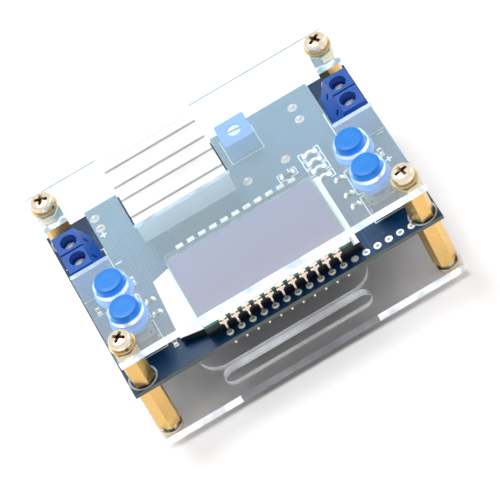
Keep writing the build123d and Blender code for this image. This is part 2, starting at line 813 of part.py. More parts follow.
# Edge clips: bar on the glass, T-shaped face, stem through the board
for row_name, row_y, inward in [("lcd_front_clips", pad_y, 1), ("lcd_back_clips", back_pin_y, -1)]:
    with BuildPart() as clips:
        with BuildSketch(Plane.XY.offset(glass_top)):
            with Locations((clip_mid_x, row_y + inward * (clip_reach - clip_t) / 2)):
                with GridLocations(pad_pitch, 1, clip_count, 1):
                    Rectangle(clip_w, clip_reach)
        extrude(amount=clip_bar_h)
        with BuildSketch(Plane.XY.offset(glass_top)):
            with Locations((clip_mid_x, row_y)):
                with GridLocations(pad_pitch, 1, clip_count, 1):
                    Rectangle(clip_w, clip_t)
        extrude(amount=-clip_plate_h)
        with BuildSketch(Plane.XY.offset(glass_top)):
            with Locations((clip_mid_x, row_y)):
                with GridLocations(pad_pitch, 1, clip_count, 1):
                    Rectangle(clip_stem_w, clip_t)
        extrude(amount=-(glass_top - board_z + clip_below))
    clips.part.label = row_name
    export_step(clips.part, "parts/" + row_name + ".step")

# Heat sink: base and round-topped fins in one extrusion
with BuildPart() as heat_sink:
    with BuildSketch(Plane.YZ.offset(sink_x)):
        with Locations((sink_front + sink_w / 2, sink_z + sink_h / 2)):
            Rectangle(sink_w, sink_h)
        for groove in sink_grooves:
            with Locations((sink_front + groove, sink_z + sink_h)):
                Rectangle(sink_groove_w, 2 * sink_groove_deep, mode=Mode.SUBTRACT)
    extrude(amount=sink_l / 2, both=True)
    fillet(heat_sink.faces().filter_by(Axis.Z).group_by(Axis.Z)[-1].edges().filter_by(Axis.X), sink_round)
heat_sink.part.label = "heat_sink"
export_step(heat_sink.part, "parts/heat_sink.step")

# Power packages: body, rear metal tab, formed leads, thermal layer
packs = [("regulator", sink_x - pack_step, regulator_lead_count, regulator_pitch),
         ("rectifier", sink_x + pack_step, rectifier_lead_count, rectifier_pitch)]
for pack_name, x, leads, pitch in packs:
    with BuildPart() as package:
        with BuildSketch(Plane.XY.offset(deck)):
            with Locations((x, pack_y)):
                Rectangle(pack_l, pack_w)
        extrude(amount=pack_h)
        chamfer(package.faces().sort_by(Axis.Z)[-1].edges(), pack_edge)
    package.part.label = pack_name + "_package"
    export_step(package.part, "parts/" + pack_name + "_package.step")

with BuildPart() as package_metal:
    for _, x, leads, pitch in packs:
        with BuildSketch(Plane.XY.offset(deck)):
            with Locations((x, pack_y + pack_w / 2 + tab_w / 2)):
                Rectangle(tab_l, tab_w)
        extrude(amount=tab_t)
        lead_y = pack_y - pack_w / 2
        for k in range(leads):
            lead_x = x + (k - (leads - 1) / 2) * pitch
            with BuildSketch(Plane.YZ.offset(lead_x)):
                with BuildLine():
                    Polyline(
                        (lead_y, deck + gull_z),
                        (lead_y, deck + gull_z + gull_t),
                        (lead_y - gull_reach + gull_foot, deck + gull_z + gull_t),
                        (lead_y - gull_reach + gull_foot - gull_t, deck + gull_t),
                        (lead_y - gull_reach, deck + gull_t),
                        (lead_y - gull_reach, deck),
                        (lead_y - gull_reach + gull_foot, deck),
                        (lead_y - gull_reach + gull_foot + gull_t, deck + gull_z),
                        close=True,
                    )
                make_face()
            extrude(amount=gull_w / 2, both=True)
package_metal.part.label = "package_metal"
export_step(package_metal.part, "parts/package_metal.step")

with BuildPart() as thermal_pads:
    with BuildSketch(Plane.XY.offset(deck + pack_h)):
        for _, x, leads, pitch in packs:
            with Locations((x, pack_y)):
                Rectangle(pack_l - 2 * pack_edge, pack_w - 2 * pack_edge)
    extrude(amount=thermal_t)
thermal_pads.part.label = "thermal_pads"
export_step(thermal_pads.part, "parts/thermal_pads.step")

# Ring core standing under the board, and its winding
with BuildPart() as coil_core:
    with BuildSketch(Plane.XZ.offset(-coil_y)):
        with Locations((coil_x, coil_z)):
            RegularPolygon(core_od / 2, head_sides)
            RegularPolygon(core_id / 2, head_sides, major_radius=False, mode=Mode.SUBTRACT)
    extrude(amount=core_w / 2, both=True)
    rims = [face.outer_wire().edges() for face in coil_core.faces().filter_by(Axis.Y)]
    chamfer(rims[0] + rims[1], core_edge)
coil_core.part.label = "coil_core"
export_step(coil_core.part, "parts/coil_core.step")

strand_in = core_id / 2 - wire_gap - wire_d / 2
turn_r = (strand_r - strand_in) / 2
turn_mid = (strand_r + strand_in) / 2
turn_half = core_w / 2 + wire_gap + wire_d / 2
with BuildLine() as turn_path:
    Polyline(
        (turn_mid, -turn_half),
        (turn_mid + turn_r, -turn_half),
        (turn_mid + turn_r, turn_half),
        (turn_mid - turn_r, turn_half),
        (turn_mid - turn_r, -turn_half),
        close=True,
    )
with BuildPart() as one_turn:
    with BuildSketch(Plane(origin=turn_path.line @ 0, z_dir=turn_path.line % 0)):
        RegularPolygon(wire_d / 2, lead_sides)
    sweep(path=turn_path.line, transition=Transition.RIGHT)
with BuildPart() as coil_winding:
    for k in range(coil_turns):
        angle = -90 + coil_end_turn + k * (360 - 2 * coil_end_turn) / (coil_turns - 1)
        placed = one_turn.part.rotate(Axis.Y, angle).moved(Location((coil_x, coil_y, coil_z)))
        add(placed)
    lead_z = coil_z + strand_r * math.cos(math.radians(coil_end_turn))
    with BuildSketch(Plane.XY.offset(lead_z)):
        with Locations(*coil_leads):
            RegularPolygon(wire_d / 2, lead_sides)
    extrude(amount=deck - lead_z)
coil_winding.part.label = "coil_winding"
export_step(coil_winding.part, "parts/coil_winding.step")

# Capacitors hanging under the board
with BuildPart() as capacitors:
    can_z = board_z - can_gap
    with BuildSketch(Plane.XY.offset(can_z)):
        with Locations(in_can, out_can):
            RegularPolygon(can_d / 2, head_sides)
    extrude(amount=-can_h)
    chamfer(capacitors.faces().filter_by(Axis.Z).group_by(Axis.Z)[0].edges(), can_edge)
    with BuildSketch(Plane.XY.offset(can_z - can_neck_z)):
        with Locations(in_can, out_can):
            RegularPolygon(can_d / 2 + can_neck, head_sides)
            RegularPolygon(can_d / 2 - can_neck, head_sides, mode=Mode.SUBTRACT)
    extrude(amount=-can_neck_h, mode=Mode.SUBTRACT)
capacitors.part.label = "capacitors"
export_step(capacitors.part, "parts/capacitors.step")

with BuildPart() as capacitor_leads:
    with BuildSketch(Plane.XY.offset(board_z - can_gap)):
        with Locations(*can_leads):
            RegularPolygon(can_lead_d / 2, lead_sides)
    extrude(amount=can_gap + board_t)
capacitor_leads.part.label = "capacitor_leads"
export_step(capacitor_leads.part, "parts/capacitor_leads.step")

# Solder domes over the leads that end on the top face
with BuildPart() as solder_domes:
    with BuildSketch(Plane.XY.offset(deck)):
        with Locations(*can_leads, *coil_leads):
            RegularPolygon(blob_d / 2, hidden_sides)
    extrude(amount=blob_h, taper=blob_taper)
solder_domes.part.label = "solder_domes"
export_step(solder_domes.part, "parts/solder_domes.step")

# Control chip under the board
chip_top = board_z - chip_stand
with BuildPart() as control_chip:
    with BuildSketch(Plane.XY.offset(chip_top)):
        with Locations((chip_x, chip_y)):
            Rectangle(chip_l, chip_w)
    extrude(amount=-chip_h)
    chamfer(control_chip.faces().sort_by(Axis.Z)[0].edges(), pack_edge)
control_chip.part.label = "control_chip"
export_step(control_chip.part, "parts/control_chip.step")

with BuildPart() as chip_legs:
    for sy in (-1, 1):
        edge_y = chip_y + sy * chip_w / 2
        with BuildSketch(Plane.YZ.offset(chip_x)):
            with BuildLine():
                Polyline(
                    (edge_y, board_z - chip_lead_z),
                    (edge_y, board_z - chip_lead_z - chip_lead_t),
                    (edge_y + sy * chip_lead_reach / 2, board_z - chip_lead_z - chip_lead_t),
                    (edge_y + sy * (chip_lead_reach / 2 + chip_lead_t), board_z - chip_lead_t),
                    (edge_y + sy * chip_lead_reach, board_z - chip_lead_t),
                    (edge_y + sy * chip_lead_reach, board_z),
                    (edge_y + sy * chip_lead_reach / 2, board_z),
                    (edge_y + sy * (chip_lead_reach / 2 - chip_lead_t), board_z - chip_lead_z),
                    close=True,
                )
            make_face()
        extrude(amount=chip_l / 2, both=True)
    for k in range(chip_leads + 1):
        gap_x = chip_x + (k - chip_leads / 2) * chip_pitch
        with BuildSketch(Plane.XY.offset(board_z + 1)):
            with Locations((gap_x, chip_y)):
                Rectangle(chip_pitch - chip_lead_w, chip_w + 4 * chip_lead_reach)
        extrude(amount=-2 * chip_h, mode=Mode.SUBTRACT)
chip_legs.part.label = "chip_legs"
export_step(chip_legs.part, "parts/chip_legs.step")

# Small parts on the top face
with BuildPart() as status_leds:
    with BuildSketch(Plane.XY.offset(deck)):
        with Locations(*[(led_x, y) for y in led_ys]):
            Rectangle(led_l, led_w)
    extrude(amount=led_h / 2)
    with BuildSketch(Plane.XY.offset(deck + led_h / 2)):
        with Locations(*[(led_x, y) for y in led_ys]):
            Rectangle(led_l * 0.7, led_w)
    extrude(amount=led_h / 2)
status_leds.part.label = "status_leds"
export_step(status_leds.part, "parts/status_leds.step")

with BuildPart() as power_diode:
    with BuildSketch(Plane.XY.offset(deck)):
        with Locations((diode_x, diode_y)):
            Rectangle(diode_l, diode_w)
    extrude(amount=diode_h)
    chamfer(power_diode.faces().sort_by(Axis.Z)[-1].edges(), diode_edge)
power_diode.part.label = "power_diode"
export_step(power_diode.part, "parts/power_diode.step")

with BuildPart() as diode_tabs:
    with BuildSketch(Plane.XY.offset(deck)):
        with Locations((diode_x, diode_y)):
            with GridLocations(diode_l + diode_tab, 1, 2, 1):
                Rectangle(diode_tab, diode_tab_w)
    extrude(amount=diode_h / 2)
diode_tabs.part.label = "diode_tabs"
export_step(diode_tabs.part, "parts/diode_tabs.step")

with BuildPart() as chip_parts:
    with BuildSketch(Plane.XY.offset(deck)):
        with Locations(*small_flat):
            Rectangle(small_l, small_w)
        with Locations(*small_upright):
            Rectangle(small_w, small_l)
    extrude(amount=small_h)
chip_parts.part.label = "chip_parts"
export_step(chip_parts.part, "parts/chip_parts.step")
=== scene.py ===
import json
import math

import bmesh
import bpy
from mathutils import Matrix, Vector


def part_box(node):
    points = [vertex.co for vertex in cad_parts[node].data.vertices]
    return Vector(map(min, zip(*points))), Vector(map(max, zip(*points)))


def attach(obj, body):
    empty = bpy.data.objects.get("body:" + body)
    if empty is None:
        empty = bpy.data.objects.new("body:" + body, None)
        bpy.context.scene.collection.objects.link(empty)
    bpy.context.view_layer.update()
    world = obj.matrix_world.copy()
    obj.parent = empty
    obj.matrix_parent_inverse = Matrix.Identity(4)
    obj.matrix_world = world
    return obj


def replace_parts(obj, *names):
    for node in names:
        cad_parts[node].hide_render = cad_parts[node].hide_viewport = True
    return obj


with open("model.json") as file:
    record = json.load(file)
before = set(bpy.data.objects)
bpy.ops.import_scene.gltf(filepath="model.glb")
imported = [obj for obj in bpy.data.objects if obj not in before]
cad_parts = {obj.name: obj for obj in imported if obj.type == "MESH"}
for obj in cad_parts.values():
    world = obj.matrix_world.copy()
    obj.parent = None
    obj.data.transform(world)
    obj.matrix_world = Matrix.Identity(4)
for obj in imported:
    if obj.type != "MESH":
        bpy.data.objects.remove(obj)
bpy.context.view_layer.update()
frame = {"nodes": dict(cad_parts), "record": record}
nodes = frame["nodes"]
mm = 0.001
print("frame loaded with", len(nodes), "nodes")


# node helpers: a value given to a node may be plain, or the output of another node

def setInputs(tree, node, values):
    for key, value in values.items():
        if isinstance(value, bpy.types.NodeSocket):
            tree.links.new(value, node.inputs[key])
        else:
            node.inputs[key].default_value = value


def addNode(tree, kind, values=None, **settings):
    node = tree.nodes.new(kind)
    for key, value in settings.items():
        setattr(node, key, value)
    setInputs(tree, node, values or {})
    return node


def calc(tree, operation, *values):
    return addNode(tree, "ShaderNodeMath", dict(enumerate(values)), operation=operation).outputs[0]


def product(tree, first, *others):
    for other in others:
        first = calc(tree, "MULTIPLY", first, other)
    return first


def inverse(tree, value):
    return calc(tree, "SUBTRACT", 1.0, value)


def scaled(tree, vector, scale):
    return addNode(tree, "ShaderNodeVectorMath", {0: vector, "Scale": scale}, operation="SCALE").outputs[0]


def ranged(tree, value, low, high, newLow=0.0, newHigh=1.0):
    return addNode(tree, "ShaderNodeMapRange", {
        "Value": value, "From Min": low, "From Max": high, "To Min": newLow, "To Max": newHigh}).outputs[0]


def blended(tree, share, first, second, kind="RGBA"):
    return addNode(tree, "ShaderNodeMix", {"Factor": share, "A": first, "B": second}, data_type=kind).outputs["Result"]


def objectPlace(tree):
    return addNode(tree, "ShaderNodeTexCoord").outputs["Object"]


def noiseOf(tree, place, scale, detail, rough=0.5):
    return addNode(tree, "ShaderNodeTexNoise", {
        "Vector": place, "Scale": scale, "Detail": detail, "Roughness": rough}).outputs["Fac"]


def wallMask(tree, limit):
    # 1 on upright faces, 0 on level ones
    normal = addNode(tree, "ShaderNodeTexCoord").outputs["Normal"]
    upward = addNode(tree, "ShaderNodeSeparateXYZ", {0: normal}).outputs["Z"]
    return calc(tree, "LESS_THAN", calc(tree, "ABSOLUTE", upward), limit)


def makeTree(kind, name, inputs, outputs):
    # a socket's kind is named, or follows from its default value
    tree = bpy.data.node_groups.new(name, kind)
    for way, sockets in (("INPUT", inputs), ("OUTPUT", outputs)):
        for label, value in sockets.items():
            if isinstance(value, str):
                sort = value
            elif isinstance(value, tuple):
                sort = "Color" if len(value) == 4 else "Vector"
            else:
                sort = "Int" if isinstance(value, int) else "Float"
            socket = tree.interface.new_socket(name=label, in_out=way, socket_type="NodeSocket" + sort)
            if sort != value:
                socket.default_value = value
    return tree, tree.nodes.new("NodeGroupInput").outputs, tree.nodes.new("NodeGroupOutput")


def newMaterial(name, values):
    material = bpy.data.materials.new(name)
    material.use_nodes = True
    tree = material.node_tree
    shader = tree.nodes["Principled BSDF"]
    setInputs(tree, shader, values)
    return material, tree, shader


def colour(red, green, blue):
    # screen values 0-255 to the linear colour that the shader takes
    def linear(value):
        value = value / 255
        return value / 12.92 if value <= 0.04045 else ((value + 0.055) / 1.055) ** 2.4
    return (linear(red), linear(green), linear(blue), 1.0)


# shared shader groups

grainOutputs = {"Color": "Color", "Roughness": "Float", "Normal": "Vector"}


def endGrain(group, given, end, swing, height, distance):
    # colour and roughness follow the swing of a noise about zero, with a fine bump
    bump = addNode(group, "ShaderNodeBump", {"Distance": distance, "Strength": given["Depth"], "Height": height})
    setInputs(group, end, {
        "Color": scaled(group, given["Base"], calc(group, "MULTIPLY_ADD", swing, given["Shift"], 1.0)),
        "Roughness": calc(group, "MULTIPLY_ADD", swing, given["Rough Shift"], given["Rough"]),
        "Normal": bump.outputs["Normal"]})


def buildGrainGroup():
    # moulded surface: fine noise for the height, broad noise for the tone
    group, given, end = makeTree("ShaderNodeTree", "mouldedGrain", {
        "Base": (0.5, 0.5, 0.5, 1), "Shift": 0.1, "Scale": 900.0, "Rough": 0.4, "Rough Shift": 0.15, "Depth": 0.2},
        grainOutputs)
    place = objectPlace(group)
    fine = noiseOf(group, place, given["Scale"], 3.0, 0.6)
    broad = noiseOf(group, place, calc(group, "MULTIPLY", given["Scale"], 0.12), 2.0)
    endGrain(group, given, end, calc(group, "SUBTRACT", broad, 0.5), fine, 0.00003)
    return group


def buildBrushedGroup():
    # fine lines drawn out along one axis, for turned, rolled or extruded metal
    group, given, end = makeTree("ShaderNodeTree", "drawnMetal", {
        "Base": (0.7, 0.7, 0.7, 1), "Shift": 0.15, "Stretch": (40.0, 2500.0, 2500.0), "Rough": 0.3,
        "Rough Shift": 0.15, "Depth": 0.15}, grainOutputs)
    place = objectPlace(group)
    drawn = addNode(group, "ShaderNodeVectorMath", {0: place, 1: given["Stretch"]}, operation="MULTIPLY").outputs[0]
    lines = noiseOf(group, drawn, 1.0, 4.0, 0.6)
    both = calc(group, "ADD", lines, noiseOf(group, place, 260.0, 3.0))
    endGrain(group, given, end, calc(group, "SUBTRACT", both, 1.0), lines, 0.00002)
    return group


def buildCavityGroup():
    # painted shade: colour that turns brown-dark where a surface lies deep in a narrow place
    group, given, end = makeTree("ShaderNodeTree", "cavityShade", {
        "Base": (0.7, 0.7, 0.7, 1), "Deep": (0.06, 0.04, 0.02, 1), "Reach": 0.0012, "From": 0.15, "To": 0.8},
        {"Color": "Color"})
    near = addNode(group, "ShaderNodeAmbientOcclusion", {"Distance": given["Reach"]}, samples=8, only_local=True)
    spread = ranged(group, near.outputs["AO"], given["From"], given["To"])
    setInputs(group, end, {"Color": blended(group, spread, given["Deep"], given["Base"])})
    return group


def buildRimGroup():
    # painted light on a clear sheet: a pale glow painted on its side walls, broken by patches, with one stretch of
    # painted shade
    group, given, end = makeTree("ShaderNodeTree", "paintedRimGlow", {
        "Glow": (0.9, 0.94, 1.0, 1), "Patch": (0.4, 0.46, 0.6, 1), "Scale": 160.0, "Shade From": 1.0, "Shade To": 1.0,
        "Front": -0.024, "Inner": 0.45, "Line Level": 1.0, "Rough": 0.25, "Base": (1, 1, 1, 1),
        "Dim": (0.22, 0.22, 0.23, 1), "Back": 1.0, "Painted Reflection": (0, 0, 0, 1)},
        {"Color": "Color", "Roughness": "Float", "Tint": "Color"})
    place = objectPlace(group)
    spot = addNode(group, "ShaderNodeSeparateXYZ", {0: place}).outputs
    wall = wallMask(group, 0.6)
    rear = calc(group, "GREATER_THAN", spot["Y"], calc(group, "MULTIPLY", given["Front"], -1.0))
    atFront = calc(group, "LESS_THAN", spot["Y"], given["Front"])
    # stretch: painted shade on the front wall, between the two x limits of the dark stretch
    stretch = product(group, calc(group, "GREATER_THAN", spot["X"], given["Shade From"]),
                      calc(group, "LESS_THAN", spot["X"], given["Shade To"]), atFront)
    # line: a painted dark line along the top of the rear walls
    line = product(group, rear, calc(group, "GREATER_THAN", spot["Z"], given["Line Level"]))
    # painted glow on the walls: patchy in front and inside, plain at the rear
    patches = ranged(group, noiseOf(group, place, given["Scale"], 2.0, 0.55), 0.42, 0.62)
    shine = blended(group, product(group, patches, inverse(group, rear)), given["Glow"], given["Patch"])
    ahead = blended(group, atFront, given["Inner"], 1.0, "FLOAT")
    amount = product(group, calc(group, "MULTIPLY_ADD", stretch, -0.88, 1.0),
                     blended(group, rear, ahead, given["Back"], "FLOAT"),
                     calc(group, "MULTIPLY_ADD", line, -0.95, 1.0), wall)
    # painted pale reflection on the flat faces, stronger towards the back
    level = product(group, ranged(group, spot["Y"], -0.025, 0.025, 0.15, 1.85), inverse(group, wall))
    total = addNode(group, "ShaderNodeVectorMath", {
        0: scaled(group, shine, amount), 1: scaled(group, given["Painted Reflection"], level)}, operation="ADD")
    # the sheet's tint is darkened along the painted shade and the painted line
    dimmed = product(group, calc(group, "MAXIMUM", stretch, line), wall)
    setInputs(group, end, {
        "Color": total.outputs[0],
        "Roughness": calc(group, "MULTIPLY_ADD", wall, given["Rough"], 0.01),
        "Tint": blended(group, dimmed, given["Base"], given["Dim"])})
    return group


def buildTraceGroup():
    # copper under lacquer: bundles of fine parallel lines in some of the cells of a pattern
    group, given, end = makeTree("ShaderNodeTree", "copperTraces", {
        "Base": (0.01, 0.08, 0.3, 1), "Line": (0.02, 0.15, 0.45, 1), "Pitch": 380.0, "Spread": 70.0},
        {"Color": "Color", "Height": "Float"})
    place = objectPlace(group)
    cells = addNode(group, "ShaderNodeTexVoronoi", {"Vector": place, "Scale": given["Spread"]}, distance="CHEBYCHEV")
    which = addNode(group, "ShaderNodeSeparateColor", {0: cells.outputs["Color"]}).outputs
    angle = calc(group, "MULTIPLY", calc(group, "GREATER_THAN", which[0], 0.5), math.pi / 4)
    turned = addNode(group, "ShaderNodeVectorRotate", {"Vector": place, "Angle": angle}, rotation_type="Z_AXIS")
    lines = addNode(group, "ShaderNodeTexWave", {
        "Vector": turned.outputs[0], "Scale": given["Pitch"], "Distortion": 0.0}, bands_direction="X")
    mask = product(group, ranged(group, lines.outputs["Fac"], 0.72, 0.8), calc(group, "GREATER_THAN", which[1], 0.62))
    setInputs(group, end, {"Color": blended(group, mask, given["Base"], given["Line"]), "Height": mask})
    return group


mouldedGrain = buildGrainGroup()
drawnMetal = buildBrushedGroup()
cavityShade = buildCavityGroup()
paintedRimGlow = buildRimGroup()
copperTraces = buildTraceGroup()
print("shader groups built")


# materials

def placeGroup(tree, group, values):
    return addNode(tree, "ShaderNodeGroup", values, node_tree=group).outputs


def grained(name, group, plain, values):
    material, tree, shader = newMaterial(name, plain)
    grain = placeGroup(tree, group, values)
    setInputs(tree, shader, {
        "Base Color": grain["Color"], "Roughness": grain["Roughness"], "Normal": grain["Normal"]})
    return material


def plastic(name, base, rough=0.4, shift=0.12, scale=900.0, depth=0.15):
    return grained(name, mouldedGrain, {"IOR": 1.5}, {
        "Base": colour(*base), "Shift": shift, "Scale": scale, "Rough": rough, "Depth": depth})


def metal(name, base, rough, stretch, shift=0.15, metallic=1.0):
    # stretch is the scale of the lines along x, y and z, or one scale for a plain grain
    along = stretch if isinstance(stretch, tuple) else (stretch, stretch, stretch)
    return grained(name, drawnMetal, {"Metallic": metallic}, {
        "Base": colour(*base), "Shift": shift, "Stretch": along, "Rough": rough})


def headMetal(name, base, deep, rough, stretch):
    # plated screw metal with painted shade in its recesses
    material = metal(name, base, rough, stretch)
    tree = material.node_tree
    shader = tree.nodes["Principled BSDF"]
    source = shader.inputs["Base Color"].links[0].from_socket
    shade = placeGroup(tree, cavityShade, {"Base": source, "Deep": colour(*deep)})
    setInputs(tree, shader, {"Base Color": shade["Color"]})
    return material


shadowShare = 0.15  # how much of a shadow a clear sheet casts


def clear(name, base, haze, strength, rim, ior=1.49):
    # clear sheet: a little pale haze, painted glow and painted shade on its side walls, a painted reflection on its
    # faces, and shadows that stay light
    material, tree, shader = newMaterial(name, {
        "IOR": ior, "Transmission Weight": 1.0 - haze, "Emission Strength": strength})
    walls = placeGroup(tree, paintedRimGlow, {"Base": base, **rim})
    path = addNode(tree, "ShaderNodeLightPath").outputs
    setInputs(tree, shader, {
        "Base Color": walls["Tint"], "Emission Color": walls["Color"], "Roughness": walls["Roughness"],
        "Alpha": calc(tree, "MULTIPLY_ADD", path["Is Shadow Ray"], shadowShare - 1.0, 1.0)})
    return material


def boardLacquer(name, base, line, side):
    # lacquer over traces on both faces, bare glass fibre on the cut sides
    material, tree, shader = newMaterial(name, {
        "Roughness": 0.3, "IOR": 1.45, "Coat Weight": 0.05, "Coat Roughness": 0.12})
    traces = placeGroup(tree, copperTraces, {"Base": colour(*base), "Line": colour(*line)})
    fibre = placeGroup(tree, mouldedGrain, {
        "Base": colour(*side), "Shift": 0.5, "Scale": 1800.0, "Rough": 0.6, "Rough Shift": 0.2, "Depth": 0.4})
    raised = addNode(tree, "ShaderNodeBump", {"Strength": 0.5, "Distance": 0.00003, "Height": traces["Height"]})
    setInputs(tree, shader, {
        "Base Color": blended(tree, wallMask(tree, 0.5), traces["Color"], fibre["Color"]),
        "Normal": raised.outputs["Normal"]})
    return material


looks = {
    # painted bluish reflection on the faces, a brighter painted glow on the rear wall, and a painted dark line along
    # its top
    "clear_acrylic": clear("clearAcrylic", (0.92, 0.985, 1.0, 1.0), 0.14, 0.8, {
        "Painted Reflection": (0.006, 0.05, 0.078, 1), "Back": 1.3, "Line Level": 0.02892}),
    "board_blue": boardLacquer("boardLacquer", (0, 46, 82), (8, 70, 116), (104, 118, 112)),
    "brass": metal("turnedBrass", (232, 190, 118), 0.3, (900.0, 900.0, 5000.0)),
    "screw_nickel": headMetal("nickelledSteel", (232, 220, 198), (120, 88, 60), 0.16, 1500.0),
    "terminal_blue": plastic("terminalBlue", (0, 88, 186), shift=0.2, depth=0.3),
    "clamp_metal": metal("tinnedSteel", (246, 246, 244), 0.22, 1200.0, metallic=0.5),
    "cap_blue": plastic("capBlue", (0, 144, 252), 0.34, shift=0.08, depth=0.1),
    "black_plastic": plastic("blackPlastic", (18, 18, 20), 0.45),
    "trimmer_blue": plastic("trimmerBlue", (34, 100, 190), 0.3),
    "rotor_white": plastic("rotorWhite", (196, 194, 186)),
    "tinned_lead": metal("tinnedLead", (226, 212, 198), 0.24, 900.0),
    "spreader_white": plastic("milkySpreader", (244, 245, 248), shift=0.03),
    # painted pale teal glow on the glass walls
    "display_glass": clear("displayGlass", (0.97, 1.0, 0.99, 1.0), 0.03, 0.3, {
        "Glow": (0.55, 0.75, 0.85, 1), "Patch": (0.05, 0.3, 0.3, 1), "Scale": 420.0}, ior=1.5),
    "polarizer": plastic("lavenderFilm", (98, 72, 112), 0.35, shift=0.03, scale=300.0, depth=0.02),
    "sink_aluminium": metal("extrudedAluminium", (242, 242, 240), 0.45, (30.0, 2600.0, 2600.0), metallic=0.2),
    "package_black": plastic("mouldedEpoxy", (34, 34, 36), 0.6, shift=0.3, scale=2500.0, depth=0.5),
    "thermal_grey": plastic("thermalLayer", (150, 150, 150), 0.8),
    "core_yellow": plastic("coatedCore", (214, 196, 96)),
    "copper_wire": metal("enamelledCopper", (196, 106, 60), 0.22, 1500.0),
    "can_sleeve": plastic("canSleeve", (24, 26, 34), 0.25),
    "light_white": plastic("lightWhite", (222, 212, 190), 0.3, shift=0.05),
    "ceramic": plastic("firedCeramic", (120, 104, 84), 0.5),
}
# painted glow on the walls, with painted shade along the front wall where the window lies behind it
lowerSheet = clear("lowerAcrylic", (0.95, 0.96, 0.955, 1.0), 0.04, 1.0, {
    "Inner": 0.25, "Back": 0.25, "Patch": (0.52, 0.54, 0.57, 1), "Shade From": -0.0169, "Shade To": 0.0142})
coverSteel = metal("coverSteel", (150, 146, 142), 0.5, 1500.0, metallic=0.7)
washerBrass = metal("washerBrass", (214, 184, 136), 0.3, 1200.0)
solderTin = metal("brightSolder", (244, 242, 238), 0.25, 1300.0, 0.2, 0.6)
solderFlux = metal("fluxedSolder", (232, 198, 182), 0.36, 1100.0, 0.3, 0.5)
paleSolder = metal("paleSolder", (244, 242, 236), 0.4, 1300.0, 0.2, 0.35)
whiteSolder = metal("whiteSolder", (252, 250, 246), 0.3, 1300.0, 0.1, 0.0)
padTin = metal("padTin", (236, 236, 230), 0.42, 1200.0, metallic=0.4)
ventAluminium = metal("canTop", (206, 206, 206), 0.35, 900.0)
silkWhite = plastic("silkInk", (236, 240, 240), 0.6, shift=0.06)
ringInk = plastic("ringInk", (176, 190, 198), 0.6, shift=0.1)
# teal glass edges: the strong random swing paints bright highlights into their own ragged teal
tealEdge = plastic("tealGlassEdge", (50, 150, 140), 0.2, shift=5.0, scale=2600.0)
# dark band low on the display's glass edges
darkEdgeBand = plastic("darkEdgeBand", (8, 22, 24), 0.3)
# painted shade for the top plate's rear edge line
edgeShade = plastic("edgeShade", (96, 98, 128))
viaTint = plastic("viaTint", (20, 74, 120), 0.3)

# the record's slot for each material, by the material's name
finishOf = {material.name: slot for slot, material in looks.items()}
finishOf.update({material.name: "tinned_lead" for material in (solderTin, solderFlux, paleSolder, whiteSolder, padTin)})
finishOf.update({"washerBrass": "brass", "tealGlassEdge": "display_glass", "viaTint": "board_blue"})

ownLooks = {"bottom_plate": lowerSheet, "switch_covers": coverSteel}
slotOf = {part["node"]: part["material_slot"] for part in frame["record"]["subparts"]}
for nodeName, piece in nodes.items():
    for place in piece.material_slots:
        place.material = ownLooks.get(nodeName, looks[slotOf[nodeName]])
print("materials on", len(nodes), "frame pieces")


# geometry helpers: all sizes are in mm

def vertAt(form, x, y, z):
    return form.verts.new((x * mm, y * mm, z * mm))


def bridge(form, near, far, slot=0):
    # walls between two rings of points
    for k in range(len(near)):
        n = (k + 1) % len(near)
        form.faces.new((near[k], near[n], far[n], far[k])).material_index = slot


def capEnds(form, rings, slot=0):
    for ring in (rings[0], rings[-1]):
        form.faces.new(ring).material_index = slot


def arc(x, y, radius, first, last, steps=6):
    turns = [math.radians(first + (last - first) * k / steps) for k in range(steps + 1)]
    return [(x + radius * math.cos(turn), y + radius * math.sin(turn)) for turn in turns]


def roundedSection(outer, inner, half, ease):
    # rectangle between two radii, with four eased corners
    return (arc(outer - ease, half - ease, ease, 0, 90, 4) + arc(inner + ease, half - ease, ease, 90, 180, 4)
            + arc(inner + ease, ease - half, ease, 180, 270, 4) + arc(outer - ease, ease - half, ease, 270, 360, 4))


def lathe(form, profile, centre, sides, slot=0):
    # closed turned solid about the upright line through centre; the profile runs from axis to axis
    rings = []
    for radius, height in profile:
        turns = [2 * math.pi * k / sides for k in range(sides if radius else 1)]
        rings.append([vertAt(form, centre[0] + radius * math.cos(turn), centre[1] + radius * math.sin(turn), height)
                      for turn in turns])
    for low, high in zip(rings, rings[1:]):
        if len(low) == len(high):
            bridge(form, low, high, slot)
            continue
        for k in range(sides):
            n = (k + 1) % sides
            sharp = (low[0], high[k], high[n]) if len(low) == 1 else (low[k], low[n], high[0])
            form.faces.new(sharp).material_index = slot


def turnedRing(form, profile, centre, sides, slot=0, start=0.0, sweep=360.0, rise=0.0):
    # closed outline turned about an upright line; a part turn is capped at its ends and may climb
    whole = sweep >= 359.9
    rings = []
    for k in range(sides if whole else sides + 1):
        turn = math.radians(start + sweep * k / sides)
        rings.append([vertAt(form, centre[0] + radius * math.cos(turn), centre[1] + radius * math.sin(turn),
                             height + rise * k / sides) for radius, height in profile])
    for k in range(sides):
        bridge(form, rings[k], rings[(k + 1) % len(rings)], slot)
    if not whole:
        capEnds(form, rings, slot)


def prism(form, outline, low, high, shrink=1.0):
    # upright prism over a flat outline; shrink draws its lower end in towards the middle
    midX, midY = (sum(values) / len(outline) for values in zip(*outline))
    base = [vertAt(form, midX + (x - midX) * shrink, midY + (y - midY) * shrink, low) for x, y in outline]
    top = [vertAt(form, x, y, high) for x, y in outline]
    capEnds(form, (base, top))
    bridge(form, base, top)


def block(form, low, high, edge=0.0, slot=0):
    # box with all its edges cut back by edge
    made = bmesh.ops.create_cube(form, size=1.0)["verts"]
    for vert in made:
        vert.co = Vector([(low[k] if vert.co[k] < 0 else high[k]) * mm for k in range(3)])
    for face in {face for vert in made for face in vert.link_faces}:
        face.material_index = slot
    if edge:
        edges = {line for vert in made for line in vert.link_edges}
        bmesh.ops.bevel(form, geom=list(edges), offset=edge * mm, segments=2, profile=0.6, affect="EDGES",
                        material=slot)


